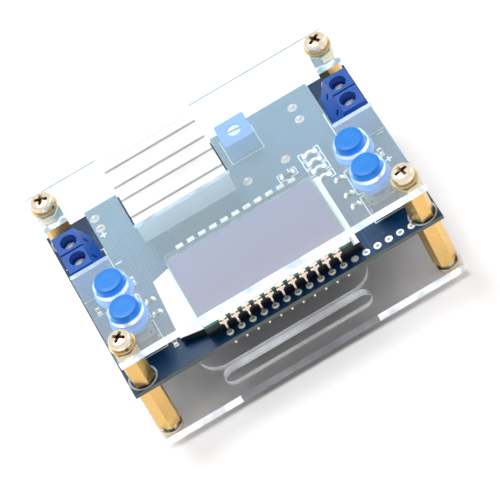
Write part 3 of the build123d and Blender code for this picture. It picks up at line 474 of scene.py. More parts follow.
def tube(form, path, radius, sides, closed=False):
    # round wire along a path of points
    points = [Vector(point) for point in path]
    count = len(points)
    rings = []
    normal = None
    for k in range(count):
        before = points[k - 1] if (k or closed) else points[k]
        after = points[(k + 1) % count] if (k < count - 1 or closed) else points[k]
        along = (after - before).normalized()
        if normal is None:
            normal = along.orthogonal().normalized()
        normal = (normal - along * normal.dot(along)).normalized()
        side = along.cross(normal)
        turns = [2 * math.pi * j / sides for j in range(sides)]
        rings.append([vertAt(form, *(points[k] + (normal * math.cos(turn) + side * math.sin(turn)) * radius))
                      for turn in turns])
    for k in range(count if closed else count - 1):
        bridge(form, rings[k], rings[(k + 1) % count])
    if not closed:
        capEnds(form, rings)


def inkLine(form, path, width, low, high, closed=False, slot=0):
    # flat printed line with mitred corners, as a thin closed solid
    points = [Vector(point) for point in path]
    count = len(points)
    rings = []
    for k in range(count):
        ways = []
        if k or closed:
            ways.append((points[k] - points[k - 1]).normalized())
        if k < count - 1 or closed:
            ways.append((points[(k + 1) % count] - points[k]).normalized())
        way = sum(ways, Vector((0, 0))).normalized()
        across = Vector((-way.y, way.x))
        reach = across * width / 2 / max(0.35, across.dot(Vector((-ways[0].y, ways[0].x))))
        left, right = points[k] + reach, points[k] - reach
        rings.append([vertAt(form, *point, level) for point, level in (
            (left, low), (right, low), (right, high), (left, high))])
    for k in range(count if closed else count - 1):
        bridge(form, rings[k], rings[(k + 1) % count], slot)
    if not closed:
        capEnds(form, rings, slot)


def moved(form, x, y, z=0.0, turn=0.0, axis="Z"):
    place = Matrix.Translation(Vector((x, y, z)) * mm)
    form.transform(place @ Matrix.Rotation(math.radians(turn), 4, axis))


def closeMesh(name, form, looksUsed):
    bmesh.ops.recalc_face_normals(form, faces=form.faces)
    mesh = bpy.data.meshes.new(name)
    form.to_mesh(mesh)
    form.free()
    for look in looksUsed:
        mesh.materials.append(look)
    return mesh


def loose(name, mesh):
    piece = bpy.data.objects.new(name, mesh)
    bpy.context.scene.collection.objects.link(piece)
    return piece


def plainMesh(piece):
    return bpy.data.meshes.new_from_object(piece.evaluated_get(bpy.context.evaluated_depsgraph_get()))


def carved(form, cutter, *looksUsed):
    # the form less the cutter, as a new form
    body = loose("carvedBody", closeMesh("carvedBody", form, looksUsed))
    tool = loose("carvingTool", closeMesh("carvingTool", cutter, looksUsed))
    modifier = body.modifiers.new("cut", "BOOLEAN")
    modifier.operation = "DIFFERENCE"
    modifier.solver = "EXACT"
    modifier.object = tool
    left = bmesh.new()
    left.from_mesh(plainMesh(body))
    bpy.data.objects.remove(body)
    bpy.data.objects.remove(tool)
    return left


def newPiece(name, mesh, body="module", soft=True):
    piece = loose(name, mesh)
    if soft:
        mesh.shade_smooth()
        mesh.set_sharp_from_angle(angle=math.radians(36))
    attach(piece, body)
    return piece


def formPiece(name, form, *looksUsed, body="module", soft=True):
    return newPiece(name, closeMesh(name, form, looksUsed), body, soft)


# geometry trees

def scatterEnd(tree, given, end, source):
    # a copy on every point, turned by the point's own angles, made real, with one material
    angles = addNode(tree, "GeometryNodeInputNamedAttribute", {"Name": "angles"}, data_type="FLOAT_VECTOR")
    turn = addNode(tree, "FunctionNodeEulerToRotation", {0: angles.outputs["Attribute"]})
    copies = addNode(tree, "GeometryNodeInstanceOnPoints", {
        "Points": given["Geometry"], "Instance": source, "Rotation": turn.outputs[0]})
    real = addNode(tree, "GeometryNodeRealizeInstances", {0: copies.outputs[0]})
    paint = addNode(tree, "GeometryNodeSetMaterial", {"Geometry": real.outputs[0], "Material": given["Material"]})
    setInputs(tree, end, {"Geometry": paint.outputs[0]})


def buildRingTree():
    # flat ring of a rectangular section on every point
    tree, given, end = makeTree("GeometryNodeTree", "ringPads", {
        "Geometry": "Geometry", "Outer Radius": 0.001, "Inner Radius": 0.0005, "Height": 0.00004, "Sides": 32,
        "Material": "Material"}, {"Geometry": "Geometry"})
    outer, inner = given["Outer Radius"], given["Inner Radius"]
    circle = addNode(tree, "GeometryNodeCurvePrimitiveCircle", {
        "Resolution": given["Sides"], "Radius": calc(tree, "MULTIPLY", calc(tree, "ADD", outer, inner), 0.5)})
    section = addNode(tree, "GeometryNodeCurvePrimitiveQuadrilateral", {
        "Width": calc(tree, "SUBTRACT", outer, inner), "Height": given["Height"]})
    ring = addNode(tree, "GeometryNodeCurveToMesh", {"Curve": circle.outputs[0], "Profile Curve": section.outputs[0]})
    scatterEnd(tree, given, end, ring.outputs[0])
    return tree


def buildScatterTree():
    # one given piece on every point
    tree, given, end = makeTree("GeometryNodeTree", "scatterPiece", {
        "Geometry": "Geometry", "Piece": "Object", "Material": "Material"}, {"Geometry": "Geometry"})
    info = addNode(tree, "GeometryNodeObjectInfo", {"Object": given["Piece"]})
    scatterEnd(tree, given, end, info.outputs["Geometry"])
    return tree


ringPads = buildRingTree()
scatterPiece = buildScatterTree()


def grow(name, tree, spots, values, soft=True):
    # runs a tree once on its points (mm) and angles (degrees) and keeps the plain mesh
    mesh = bpy.data.meshes.new(name + "Spots")
    mesh.from_pydata([Vector(spot[:3]) * mm for spot in spots], [], [])
    angles = mesh.attributes.new("angles", "FLOAT_VECTOR", "POINT")
    for k, spot in enumerate(spots):
        turn = spot[3] if len(spot) > 3 else (0, 0, 0)
        angles.data[k].vector = [math.radians(angle) for angle in turn]
    holder = loose(name + "Holder", mesh)
    modifier = holder.modifiers.new("grown", "NODES")
    modifier.node_group = tree
    for item in tree.interface.items_tree:
        if item.in_out == "INPUT" and item.name in values:
            modifier[item.identifier] = values[item.name]
    grown = plainMesh(holder)
    if "angles" in grown.attributes:
        grown.attributes.remove(grown.attributes["angles"])
    bpy.data.objects.remove(holder)
    return newPiece(name, grown, soft=soft)


def scatter(name, form, look, spots, soft=True):
    # one form, copied to every spot
    source = loose(name + "Source", closeMesh(name + "Source", form, [look]))
    made = grow(name, scatterPiece, spots, {"Piece": source, "Material": look}, soft)
    bpy.data.objects.remove(source)
    return made


def ringSet(name, spots, outer, inner, tall, sides, look):
    return grow(name, ringPads, spots, {"Outer Radius": outer * mm, "Inner Radius": inner * mm, "Height": tall * mm,
                                        "Sides": sides, "Material": look})


# levels and places, in mm, read from the frame where a piece stands on a node

def spanOf(node):
    low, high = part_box(node)
    return [value / mm for value in low], [value / mm for value in high]


def levelsOf(node):
    low, high = spanOf(node)
    return low[2], high[2]


layout = {
    "holes": (31.4, 21.2), "headTurns": [-21.0, 7.0, 16.0, -12.0],
    "padY": -22.53, "backY": -0.67, "firstPad": -12.34, "pitch": 2.54, "clips": 11, "pads": 17,
    "trimmer": (8.7, 18.4), "coil": (10.18, 8.85), "diode": (13.2, 5.0),
    "keys": [(-27.75, -5.75), (-27.75, -13.75), (26.4, -5.75), (26.4, -13.75)],
    "cans": [(-24.1, 19.75, -50.0), (21.15, 18.25, 140.0)],  # with the turn of the pale stripe
    "canLeads": [(-24.1, 18.2), (-24.1, 21.3), (21.15, 16.4), (21.15, 20.1)],
    "terminals": ((-1, 8.3), (1, 8.5)),  # side, and the middle of its two poles
    "ledX": 19.1, "ledYs": [6.9, 4.45, 2.1, -0.5],
}
boardLow, boardHigh = levelsOf("circuit_board")
holeX, holeY = layout["holes"]
corners = [(-holeX, -holeY), (holeX, -holeY), (holeX, holeY), (-holeX, holeY)]
headTurns, padY, keys, cans = (layout[name] for name in ("headTurns", "padY", "keys", "cans"))
padXs = [layout["firstPad"] + layout["pitch"] * k for k in range(layout["pads"])]
clipXs, openXs = padXs[:layout["clips"]], padXs[layout["clips"]:]
print("helpers and trees ready, board from", round(boardLow, 2), "to", round(boardHigh, 2), "mm")


# screws: domed head, tapered cross recess, threaded shank

screwSize = {"headR": 2.375, "headH": 1.6, "foot": 0.1, "wall": 0.75, "domeR": 0.85, "domeH": 0.72, "flatR": 0.9,
             "recessL": 1.6, "recessW": 0.42, "recessDeep": 1.1, "taper": 0.5,
             "shankR": 1.2, "rootR": 0.98, "pitch": 0.5, "sides": 24}


def addThread(form, low, high, size):
    # wavy-walled rod whose wave climbs with the turn; plain rings close both ends
    sides, steps = size["sides"], int((high - low) / size["pitch"] * 5)
    rings = []
    for j in range(steps + 1):
        level = low + (high - low) * j / steps
        ring = []
        for k in range(sides):
            wave = 0.0 if j in (0, steps) else abs(((level / size["pitch"] - k / sides) % 1.0) * 2 - 1)
            radius = size["rootR"] + (size["shankR"] - size["rootR"]) * min(1.0, 1.3 * wave)
            turn = 2 * math.pi * k / sides
            ring.append(vertAt(form, radius * math.cos(turn), radius * math.sin(turn), level))
        rings.append(ring)
    for near, far in zip(rings, rings[1:]):
        bridge(form, near, far)
    capEnds(form, rings)


def screwForm(length, size):
    # head seat at level 0, head above it, shank below
    radius, height, wall = size["headR"], size["headH"], size["wall"]
    form = bmesh.new()
    lathe(form, [(0, 0), (radius - 0.12, 0), (radius, size["foot"]), (radius, wall)]
          + [(radius - size["domeR"] * (1 - math.cos(turn)), wall + size["domeH"] * math.sin(turn))
             for turn in (0.25, 0.5, 0.75, 1.0, 1.25, 1.5)]
          + [(size["flatR"], height - 0.04), (0, height)], (0, 0), 48)
    cutter = bmesh.new()
    long, wide = size["recessL"], size["recessW"]
    cross = [(long, -wide), (long, wide), (wide, wide), (wide, long), (-wide, long), (-wide, wide),
             (-long, wide), (-long, -wide), (-wide, -wide), (-wide, -long), (wide, -long), (wide, -wide)]
    prism(cutter, cross, height - size["recessDeep"], height + 0.2, shrink=size["taper"])
    form = carved(form, cutter, looks["screw_nickel"])
    addThread(form, -length, 0.05, size)
    return form


low, high = levelsOf("top_screws")
seat = high - screwSize["headH"]
screws = scatter("topScrewSet", screwForm(seat - low, screwSize), looks["screw_nickel"],
                 [(x, y, seat, (0, 0, 2 * turn)) for (x, y), turn in zip(corners, headTurns)])
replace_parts(screws, "top_screws")
low, high = levelsOf("bottom_screws")
seat = screwSize["headH"]
screws = scatter("bottomScrewSet", screwForm(high - seat, screwSize), looks["screw_nickel"],
                 [(x, y, seat, (180, 0, 3 * turn)) for (x, y), turn in zip(corners, headTurns)])
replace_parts(screws, "bottom_screws")
print("screws built")


# washers: flat ring with eased edges, split spring ring that climbs a little

washerSize = {"flatIn": 1.35, "flatOut": 2.75, "ease": 0.05, "springIn": 1.4, "springOut": 2.2, "springEase": 0.03,
              "climb": 0.08, "sweep": 346.0}
form = bmesh.new()
low, high = levelsOf("flat_washers")
inner, outer, ease = washerSize["flatIn"], washerSize["flatOut"], washerSize["ease"]
for corner in corners:
    turnedRing(form, [(inner, low), (outer - ease, low), (outer, low + ease), (outer, high - ease),
                      (outer - ease, high), (inner + ease, high), (inner, high - ease)], corner, 48)
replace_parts(formPiece("flatWasherSet", form, washerBrass), "flat_washers")
form = bmesh.new()
low, high = levelsOf("spring_washers")
inner, outer, ease = washerSize["springIn"], washerSize["springOut"], washerSize["springEase"]
crest = high - washerSize["climb"]
for corner, turn in zip(corners, headTurns):
    turnedRing(form, [(inner, low), (outer - ease, low), (outer, low + ease), (outer, crest - ease),
                      (outer - ease, crest), (inner, crest)], corner, 44,
               start=4 * turn + 7, sweep=washerSize["sweep"], rise=washerSize["climb"])
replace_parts(formPiece("springWasherSet", form, looks["screw_nickel"]), "spring_washers")
print("washers built")


# tall caps: flange, round cap with an eased rim, square collar with its socket

capSize = {"topR": 2.95, "flangeR": 4.0, "flangeH": 1.0, "edge": 0.3, "dish": 0.05, "collarH": 2.4, "collar": 2.1,
           "socket": 1.25}
for index, centre in enumerate(keys):
    low, top = levelsOf("cap_" + str(index + 1))
    foot = low + capSize["collarH"]
    crest = foot + capSize["flangeH"]
    radius, edge, flangeR = capSize["topR"], capSize["edge"], capSize["flangeR"]
    form = bmesh.new()
    lathe(form, [(0, foot), (flangeR - 0.1, foot), (flangeR, foot + 0.1), (flangeR, crest - 0.12),
                 (flangeR - 0.12, crest), (radius + 0.2, crest), (radius, crest + 0.2), (radius - 0.02, top - edge)]
          + [(radius - 0.02 - edge * (1 - math.cos(turn)), top - edge + edge * math.sin(turn))
             for turn in (0.3, 0.6, 0.9, 1.2, math.pi / 2)]
          + [(1.5, top - capSize["dish"] / 2), (0, top - capSize["dish"])], centre, 64)
    outer, inner = (capSize[side] * math.sqrt(2) for side in ("collar", "socket"))
    turnedRing(form, [(outer, low), (outer, foot + 0.05), (inner, foot + 0.05), (inner, low)], centre, 4, start=45.0)
    cap = formPiece("roundCap" + str(index + 1), form, looks["cap_blue"], body="button_" + str(index + 1))
    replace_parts(cap, "cap_" + str(index + 1))
print("caps built")


# round coil: smooth coated core and the wire bent round it

coilSize = {"coreR": 4.8, "coreIn": 2.4, "half": 2.3, "ease": 0.5, "wireR": 0.35, "bend": 0.75, "skin": 0.05,
            "hang": 0.3, "turns": 11, "end": 56.0}
coilX, coilY = layout["coil"]
wireR, gap = coilSize["wireR"], coilSize["skin"] + coilSize["wireR"]
strandR = coilSize["coreR"] + gap
coilZ = boardLow - coilSize["hang"] - strandR - wireR
form = bmesh.new()
turnedRing(form, roundedSection(coilSize["coreR"], coilSize["coreIn"], coilSize["half"], coilSize["ease"]), (0, 0), 56)
moved(form, coilX, coilY, coilZ, 90, "X")
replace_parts(formPiece("coatedCore", form, looks["core_yellow"]), "coil_core")

form = bmesh.new()
loop = roundedSection(strandR, coilSize["coreIn"] - gap, coilSize["half"] + gap, coilSize["bend"])
first = math.radians(coilSize["end"])
for k in range(coilSize["turns"]):
    angle = first + 2 * (math.pi - first) * k / (coilSize["turns"] - 1)
    tube(form, [(coilX + radius * math.sin(angle), coilY + across, coilZ + radius * math.cos(angle))
                for radius, across in loop], wireR, 12, closed=True)
endZ = coilZ + strandR * math.cos(first)
for side in (-1, 1):
    endX = coilX + side * strandR * math.sin(first)
    tube(form, [(endX, coilY, level) for level in (endZ, endZ + 0.8, boardLow, boardHigh)], wireR, 12)
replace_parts(formPiece("woundWire", form, looks["copper_wire"]), "coil_winding")
print("coil built")


# hanging cans: rolled neck, sleeve that stops at the metal end, vent scores drawn as dark strips of painted shade, pale
# stripe

canSize = {"radius": 4.0, "long": 11.0, "hang": 0.3, "neckFrom": 1.5, "neckMid": 2.1, "neckTo": 2.7, "neckDeep": 0.35,
           "score": 2.6, "scoreW": 0.12, "stripe": 42.0, "stripeEnd": 3.1}
canTop = boardLow - canSize["hang"]
foot = canTop - canSize["long"]
radius, deep = canSize["radius"], canSize["neckDeep"]
neckFrom, neckTo = canTop - canSize["neckFrom"], canTop - canSize["neckTo"]
canProfile = [(0, foot + 0.1), (radius - 0.85, foot + 0.1), (radius - 0.8, foot + 0.02), (radius - 0.45, foot),
              (radius - 0.12, foot + 0.12), (radius, foot + 0.45), (radius, neckTo - 0.2),
              (radius - deep * 0.6, neckTo + 0.15), (radius - deep, canTop - canSize["neckMid"]),
              (radius - deep * 0.6, neckFrom - 0.15), (radius, neckFrom + 0.2), (radius, canTop - 0.3),
              (radius - 0.3, canTop), (radius - 0.9, canTop), (radius - 0.95, canTop - 0.25), (0, canTop - 0.25)]
for index, (x, y, stripe) in enumerate(cans):
    form = bmesh.new()
    lathe(form, canProfile, (x, y), 64)
    for face in form.faces:
        if face.calc_center_median().z < (foot + 0.11) * mm and all(
                math.hypot(vert.co.x / mm - x, vert.co.y / mm - y) < radius - 0.44 for vert in face.verts):
            face.material_index = 1
    # the vent's scores: dark strips, painted shade for the grooves
    for k in range(3):
        turn = math.radians(60 * k + 15)
        reach = Vector((math.cos(turn), math.sin(turn))) * canSize["score"]
        inkLine(form, [Vector((x, y)) - reach, Vector((x, y)) + reach], canSize["scoreW"], foot + 0.06, foot + 0.14,
                slot=2)
    skin, bare, stop = radius - 0.05, radius + 0.02, canTop - canSize["stripeEnd"]
    turnedRing(form, [(skin, foot + 0.6), (bare, foot + 0.6), (bare, stop), (skin, stop)], (x, y), 12, slot=3,
               start=stripe, sweep=canSize["stripe"])
    made = formPiece("canWithSleeve" + str(index + 1), form, looks["can_sleeve"], ventAluminium,
                     looks["package_black"], silkWhite)
    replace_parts(made, "capacitors")
print("cans built")


# display: two sheets of glass, a dark band low on their edges under a teal coat with painted highlights, a pale border
# on the front sheet

glassSize = {"edge": 0.07, "half": 0.02, "skin": 0.03, "inset": 0.08, "darkBandTo": 0.62, "tealFrom": 0.58, "border": 0.1}
low, high = spanOf("lcd_rear_glass")
form = bmesh.new()
block(form, low, (high[0], high[1], high[2] - glassSize["half"]), edge=glassSize["edge"])
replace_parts(formPiece("rearSheet", form, looks["display_glass"], soft=False), "lcd_rear_glass")
x0, y0, z0 = low
low, high = spanOf("lcd_front_glass")
form = bmesh.new()
block(form, (low[0], low[1], low[2] + glassSize["half"]), high, edge=glassSize["edge"])
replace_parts(formPiece("frontSheet", form, looks["display_glass"], soft=False), "lcd_front_glass")
x1, y1, z1 = high
form = bmesh.new()
skin, inset = glassSize["skin"], glassSize["inset"]
for left, right, front, back in ((x0, x1, y0 - skin, y0 + skin), (x0, x1, y1 - skin, y1 + skin),
                                 (x0 - skin, x0 + skin, y0, y1), (x1 - skin, x1 + skin, y0, y1)):
    block(form, (left, front, z0 + inset), (right, back, z1 - glassSize["darkBandTo"]), edge=0.01, slot=1)
    block(form, (left, front, z1 - glassSize["tealFrom"]), (right, back, z1 - inset), edge=0.01)
formPiece("glassEdgeCoat", form, tealEdge, darkEdgeBand, soft=False)
form = bmesh.new()
border = glassSize["border"]
block(form, (x0 + border, y0 + border, z1 - 0.01), (x1 - border, spanOf("lcd_polarizer")[0][1] - 0.04, z1 + 0.03))
formPiece("borderPrint", form, looks["spreader_white"], soft=False)
print("display glass built")


# painted shade: a thin dark strip along the top plate's back corner, on both sides of the notch

lineSize = {"inset": 0.05, "deep": 0.1, "tall": 0.16, "edge": 0.02}
form = bmesh.new()
back, top = spanOf("top_plate")[1][1:]
rim = sorted({round(vert.co.x / mm, 2) for vert in nodes["top_plate"].data.vertices if vert.co.y / mm > back - 0.01})
for left, right in (rim[:2], rim[-2:]):
    block(form, (left + lineSize["inset"], back - lineSize["deep"], top - lineSize["tall"]),
          (right - lineSize["inset"], back - 0.005, top - 0.01), edge=lineSize["edge"])
formPiece("rearEdgeLine", form, edgeShade, soft=False)
print("edge line built on", rim)


# front clips: bar over the glass, neck, stepped face, and a thin stem through the board

clipParts = {  # left and right side alike: half width, front, back, and the two levels from the clip's top
    "bar": (0.8, -0.06, 0.86, -0.2, 0.0), "face": (0.9, -0.13, 0.11, -1.15, -0.52),
    "step": (0.42, -0.12, 0.1, -1.55, -1.13), "neck": (0.3, -0.06, 0.1, -0.54, -0.18),
    "stem": (0.21, -0.11, 0.1, None, -1.5),
}
foot, top = levelsOf("lcd_front_clips")
form = bmesh.new()
for half, front, back, under, over in clipParts.values():
    block(form, (-half, front, foot if under is None else top + under), (half, back, top + over), edge=0.02)
clips = scatter("frontClipRow", form, looks["tinned_lead"], [(x, padY, 0) for x in clipXs], soft=False)
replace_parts(clips, "lcd_front_clips")
print("clips built")


# heat sink: one extruded section with rounded lobes and narrow slots that open into round channels

sinkSize = {"grooves": [2.9, 8.1, 12.1, 17.1], "slot": 0.2, "channelR": 0.85, "channelDeep": 2.4, "lobeR": 0.35,
            "foot": 0.1}
(left, front, base), (right, back, top) = spanOf("heat_sink")
lobe, half, channel = sinkSize["lobeR"], sinkSize["slot"], sinkSize["channelR"]
gape = math.degrees(math.asin(half / channel))
section = [(front, base), (front, base + sinkSize["foot"])] + arc(front + lobe, top - lobe, lobe, 180, 90)
for groove in sinkSize["grooves"]:
    middle = front + groove
    section += arc(middle - half - lobe, top - lobe, lobe, 90, 0)
    section += arc(middle, top - sinkSize["channelDeep"], channel, 90 + gape, 450 - gape, 14)
    section += arc(middle + half + lobe, top - lobe, lobe, 180, 90)
section += arc(back - lobe, top - lobe, lobe, 90, 0) + [(back, base + sinkSize["foot"]), (back, base)]
form = bmesh.new()
ends = [[vertAt(form, x, y, z) for y, z in section] for x in (left, right)]
capEnds(form, ends)
bridge(form, *ends)
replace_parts(formPiece("extrudedSink", form, looks["sink_aluminium"]), "heat_sink")
print("heat sink built")


# solder: balls at the front stems, tan domes on the wired parts, cones under the board

solderSize = {"stem": (0.72, 0.26), "wired": (1.0, 0.75, 0.38), "under": (0.82, 1.0, 0.4)}
# each has its radius and height, a mound also the radius of its neck


def moundProfile(wide, tall, neck):
    # concave cone like wetted solder, from the pad up to the lead
    rows = [(0, 0), (wide, 0), (wide, 0.06)]
    for step in range(1, 6):
        share = step / 6
        rows.append((neck + (wide - neck) * (1 - share) ** 2.2, 0.06 + (tall - 0.06) * share))
    return rows + [(neck * 0.9, tall), (0, tall)]


def ballProfile(wide, tall):
    turns = [math.pi / 2 * step / 7 for step in range(1, 7)]
    rows = [(wide * math.cos(turn), tall * math.sin(turn)) for turn in turns]
    return [(0, 0), (wide * 0.86, 0)] + rows + [(0, tall)]


wired = layout["canLeads"] + [(5.87, coilY), (14.49, coilY)]
keyLeads = [(x + sx * 3.25, y + sy * 2.25) for x, y in keys for sx in (-1, 1) for sy in (-1, 1)]
trimPins = [(6.16, 17.13), (8.7, 19.67), (11.24, 17.13)]
polePins = [(side * 27.65, y + dy) for side, y in layout["terminals"] for dy in (-layout["pitch"], layout["pitch"])]
underLeads = keyLeads + trimPins + polePins + [(x, padY) for x in clipXs] + [(x, layout["backY"]) for x in clipXs]
form = bmesh.new()
lathe(form, ballProfile(*solderSize["stem"]), (0, 0), 24)
scatter("stemSolder", form, whiteSolder, [(x, padY, boardHigh - 0.01) for x in clipXs])
form = bmesh.new()
lathe(form, moundProfile(*solderSize["wired"]), (0, 0), 28)
domes = scatter("wiredSolder", form, solderFlux, [(x, y, boardHigh - 0.01) for x, y in wired])
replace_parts(domes, "solder_domes")
form = bmesh.new()
lathe(form, moundProfile(*solderSize["under"]), (0, 0), 20)
scatter("underSolder", form, solderTin, [(x, y, boardLow + 0.01, (180, 0, 0)) for x, y in underLeads])
print("solder built on", len(wired) + len(underLeads) + len(clipXs), "leads")


# flat rings: print round the mounting holes, tin on pads and in open holes, a black ring round each stem as painted
# shade where it enters its hole

paper = 0.03
upper, under = boardHigh + paper / 2, boardLow - paper / 2
ringSet("mountRings", [(x, y, level) for x, y in corners for level in (upper, under)], 3.05, 2.65, paper, 64, ringInk)
ringSet("openPads", [(x, padY, level) for x in openXs for level in (upper, under)], 0.8, 0.48, paper, 32, padTin)
ringSet("platedHoles", [(x, padY, (boardLow + boardHigh) / 2) for x in openXs], 0.5, 0.36,
        boardHigh - boardLow + 0.02, 24, padTin)
ringSet("leadPads", [(x, y, under) for x, y in underLeads + wired], 0.95, 0.4, paper, 28, padTin)
ringSet("stemPads", [(x, padY, upper) for x in clipXs] + [(x, y, upper) for x, y in wired], 0.78, 0.3, paper, 28,
        padTin)
ringSet("stemShade", [(x, padY, boardHigh + 0.25) for x in clipXs], 0.36, 0.2, paper, 20, looks["black_plastic"])
print("rings built")


# white print on both faces: outlines and plain pole marks only

inkSize = {"line": 0.2, "thin": 0.16, "mark": 0.32, "thick": 0.02, "led": (1.1, 2.25, 0.98), "diode": (0.4, 2.0, 1.0),
           "terminal": (25.6, 34.2, 5.6)}
poleMarks = [(-24.2, 16.3, 1.5, True), (-24.4, 7.6, 1.4, False), (31.7, -5.1, 1.5, True), (33.1, 2.1, 1.4, False)]
trimX, trimY = layout["trimmer"]
ledX, ledYs = layout["ledX"], layout["ledYs"]


def outline(form, face, x, y, halfX, halfY, width=inkSize["line"]):
    inkLine(form, [(x - halfX, y - halfY), (x + halfX, y - halfY), (x + halfX, y + halfY), (x - halfX, y + halfY)],
            width, face, face + inkSize["thick"], closed=True)


def printed(form, path, width=inkSize["line"], raised=0.0):
    inkLine(form, path, width, boardHigh, boardHigh + inkSize["thick"] + raised)


form = bmesh.new()
inner, outer, half = inkSize["led"]
for y in ledYs:
    for side in (-1, 1):
        printed(form, [(ledX + side * inner, y + half), (ledX + side * outer, y + half),
                       (ledX + side * outer, y - half), (ledX + side * inner, y - half)])
outline(form, boardHigh, trimX, trimY, 3.6, 3.5)
for x, y in keys:
    outline(form, boardHigh, x, y, 3.62, 3.5)
inner, outer, half = inkSize["diode"]
diodeX, diodeY = layout["diode"]
for side in (-1, 1):
    near, far = diodeX + side * inner, diodeX + side * outer
    printed(form, [(near, diodeY + half), (far, diodeY + half), (far, diodeY - half), (near, diodeY - half)],
            inkSize["thin"])
inner, outer, half = inkSize["terminal"]
for side, y in layout["terminals"]:
    near, far = side * inner, side * outer
    printed(form, [(near, y - half), (far, y - half)])
    printed(form, [(near, y - half), (near, y + half), (far, y + half)], raised=0.001)
for x, y, size, plus in poleMarks:
    printed(form, [(x - size / 2, y), (x + size / 2, y)], inkSize["mark"])
    if plus:
        printed(form, [(x, y - size / 2), (x, y + size / 2)], inkSize["mark"], 0.001)
printed(form, [(-10.3, -20.5), (15.2, -20.5)], inkSize["thin"])
formPiece("whitePrint", form, silkWhite, soft=False)

form = bmesh.new()
face = boardLow - inkSize["thick"]
outline(form, face, -4.0, -10.5, 5.5, 4.9)
outline(form, face, coilX, coilY, 5.9, 3.6)
for side, y in layout["terminals"]:
    outline(form, face, side * 30.6, y, 3.4, 5.4)
outline(form, face, trimX, trimY, 3.5, 3.4)
for x, y in keys:
    outline(form, face, x, y, 3.6, 3.4, 0.15)
formPiece("underPrint", form, silkWhite, soft=False)
ringSet("canPrint", [(x, y, boardLow - 0.01) for x, y, _ in cans], 4.45, 4.27, inkSize["thick"], 48, silkWhite)
print("print built")


# small vias: a thin ring round a black disc, painted shade for the hole, in the clusters of the photograph

viaSize = {"ringR": 0.3, "ringIn": 0.15, "ringH": 0.02, "plugR": 0.16, "plugH": 0.016}
viaSpots = [(23.94, 12.1), (22.94, 12.0), (22.78, 11.16), (23.31, 10.56), (22.33, 10.34), (23.2, 17.6), (22.8, 16.6),
            (23.1, 13.9), (19.34, 14.0), (20.4, 14.6), (-22.15, -19.56), (-20.6, -18.4), (-14.0, -21.0),
            (5.2, 1.9), (-24.6, 0.4), (22.9, -20.4), (29.0, -20.9), (19.4, -19.0), (15.9, 11.9), (4.0, 12.3)]
levels = (boardHigh + 0.01, boardLow - 0.01)
ringSet("viaRings", [(x, y, level) for x, y in viaSpots for level in levels], viaSize["ringR"], viaSize["ringIn"],
        viaSize["ringH"], 14, viaTint)
form = bmesh.new()
plugR, plugH = viaSize["plugR"], viaSize["plugH"]
lathe(form, [(0, 0), (plugR, 0), (plugR, plugH), (0, plugH)], (0, 0), 10)
scatter("viaHoles", form, looks["black_plastic"],
        [(x, y, level - plugH / 2) for x, y in viaSpots for level in levels])
print("vias built")


# chip parts: fired body, wrapped metal ends and wetted pads

chipSize = {"body": (0.5, 0.41), "endX": 0.62, "end": (0.2, 0.425), "padX": 0.7, "pad": (0.42, 0.5), "padH": 0.06}
flatParts = [(21.4, -3.2, 0), (21.4, -8.0, 0), (21.4, -11.4, 0), (-22.7, -5.6, 0), (-22.7, -9.4, 0),
             (31.1, -2.6, 90), (-23.8, 1.35, 90), (-22.6, -17.6, 90), (-32.5, -1.2, 90)]
low, high = levelsOf("chip_parts")
chipSpots = [(x, y, low, (0, 0, turn)) for x, y, turn in flatParts]
halfX, halfY = chipSize["body"]
form = bmesh.new()
block(form, (-halfX, -halfY, 0.02), (halfX, halfY, high - low - 0.03), edge=0.03)
bodies = scatter("chipBodies", form, looks["ceramic"], chipSpots)
form = bmesh.new()
for side in (-1, 1):
    x, (halfX, halfY) = side * chipSize["endX"], chipSize["end"]
    block(form, (x - halfX, -halfY, 0.0), (x + halfX, halfY, high - low), edge=0.05)
    x, (halfX, halfY) = side * chipSize["padX"], chipSize["pad"]
    prism(form, [(x - halfX, -halfY), (x + halfX, -halfY), (x + halfX, halfY), (x - halfX, halfY)], 0.0,
          chipSize["padH"])
scatter("chipEnds", form, paleSolder, chipSpots)
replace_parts(bodies, "chip_parts")
print("chip parts built")


# status lights: pale base, lens, metal ends on bright pads

ledSize = {"base": (0.62, 0.4, 0.02, 0.32), "lens": (0.5, 0.38, 0.28), "endX": 0.7, "end": (0.12, 0.41, 0.36),
           "padX": 1.25, "pad": (0.42, 0.58, 0.1)}
low, high = levelsOf("status_leds")
ledSpots = [(ledX, y, low) for y in ledYs]
form = bmesh.new()
halfX, halfY, foot, top = ledSize["base"]
block(form, (-halfX, -halfY, foot), (halfX, halfY, top), edge=0.03)
halfX, halfY, foot = ledSize["lens"]
block(form, (-halfX, -halfY, foot), (halfX, halfY, high - low), edge=0.1)
lights = scatter("ledBodies", form, looks["light_white"], ledSpots)
form = bmesh.new()
for side in (-1, 1):
    for kind, edge in (("end", 0.03), ("pad", 0.04)):
        x, (halfX, halfY, top) = side * ledSize[kind + "X"], ledSize[kind]
        block(form, (x - halfX, -halfY, 0.0), (x + halfX, halfY, top), edge=edge)
scatter("ledEnds", form, paleSolder, ledSpots)
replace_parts(lights, "status_leds")
print("status lights built")


# diode: eased body with a band at one end, flat tabs

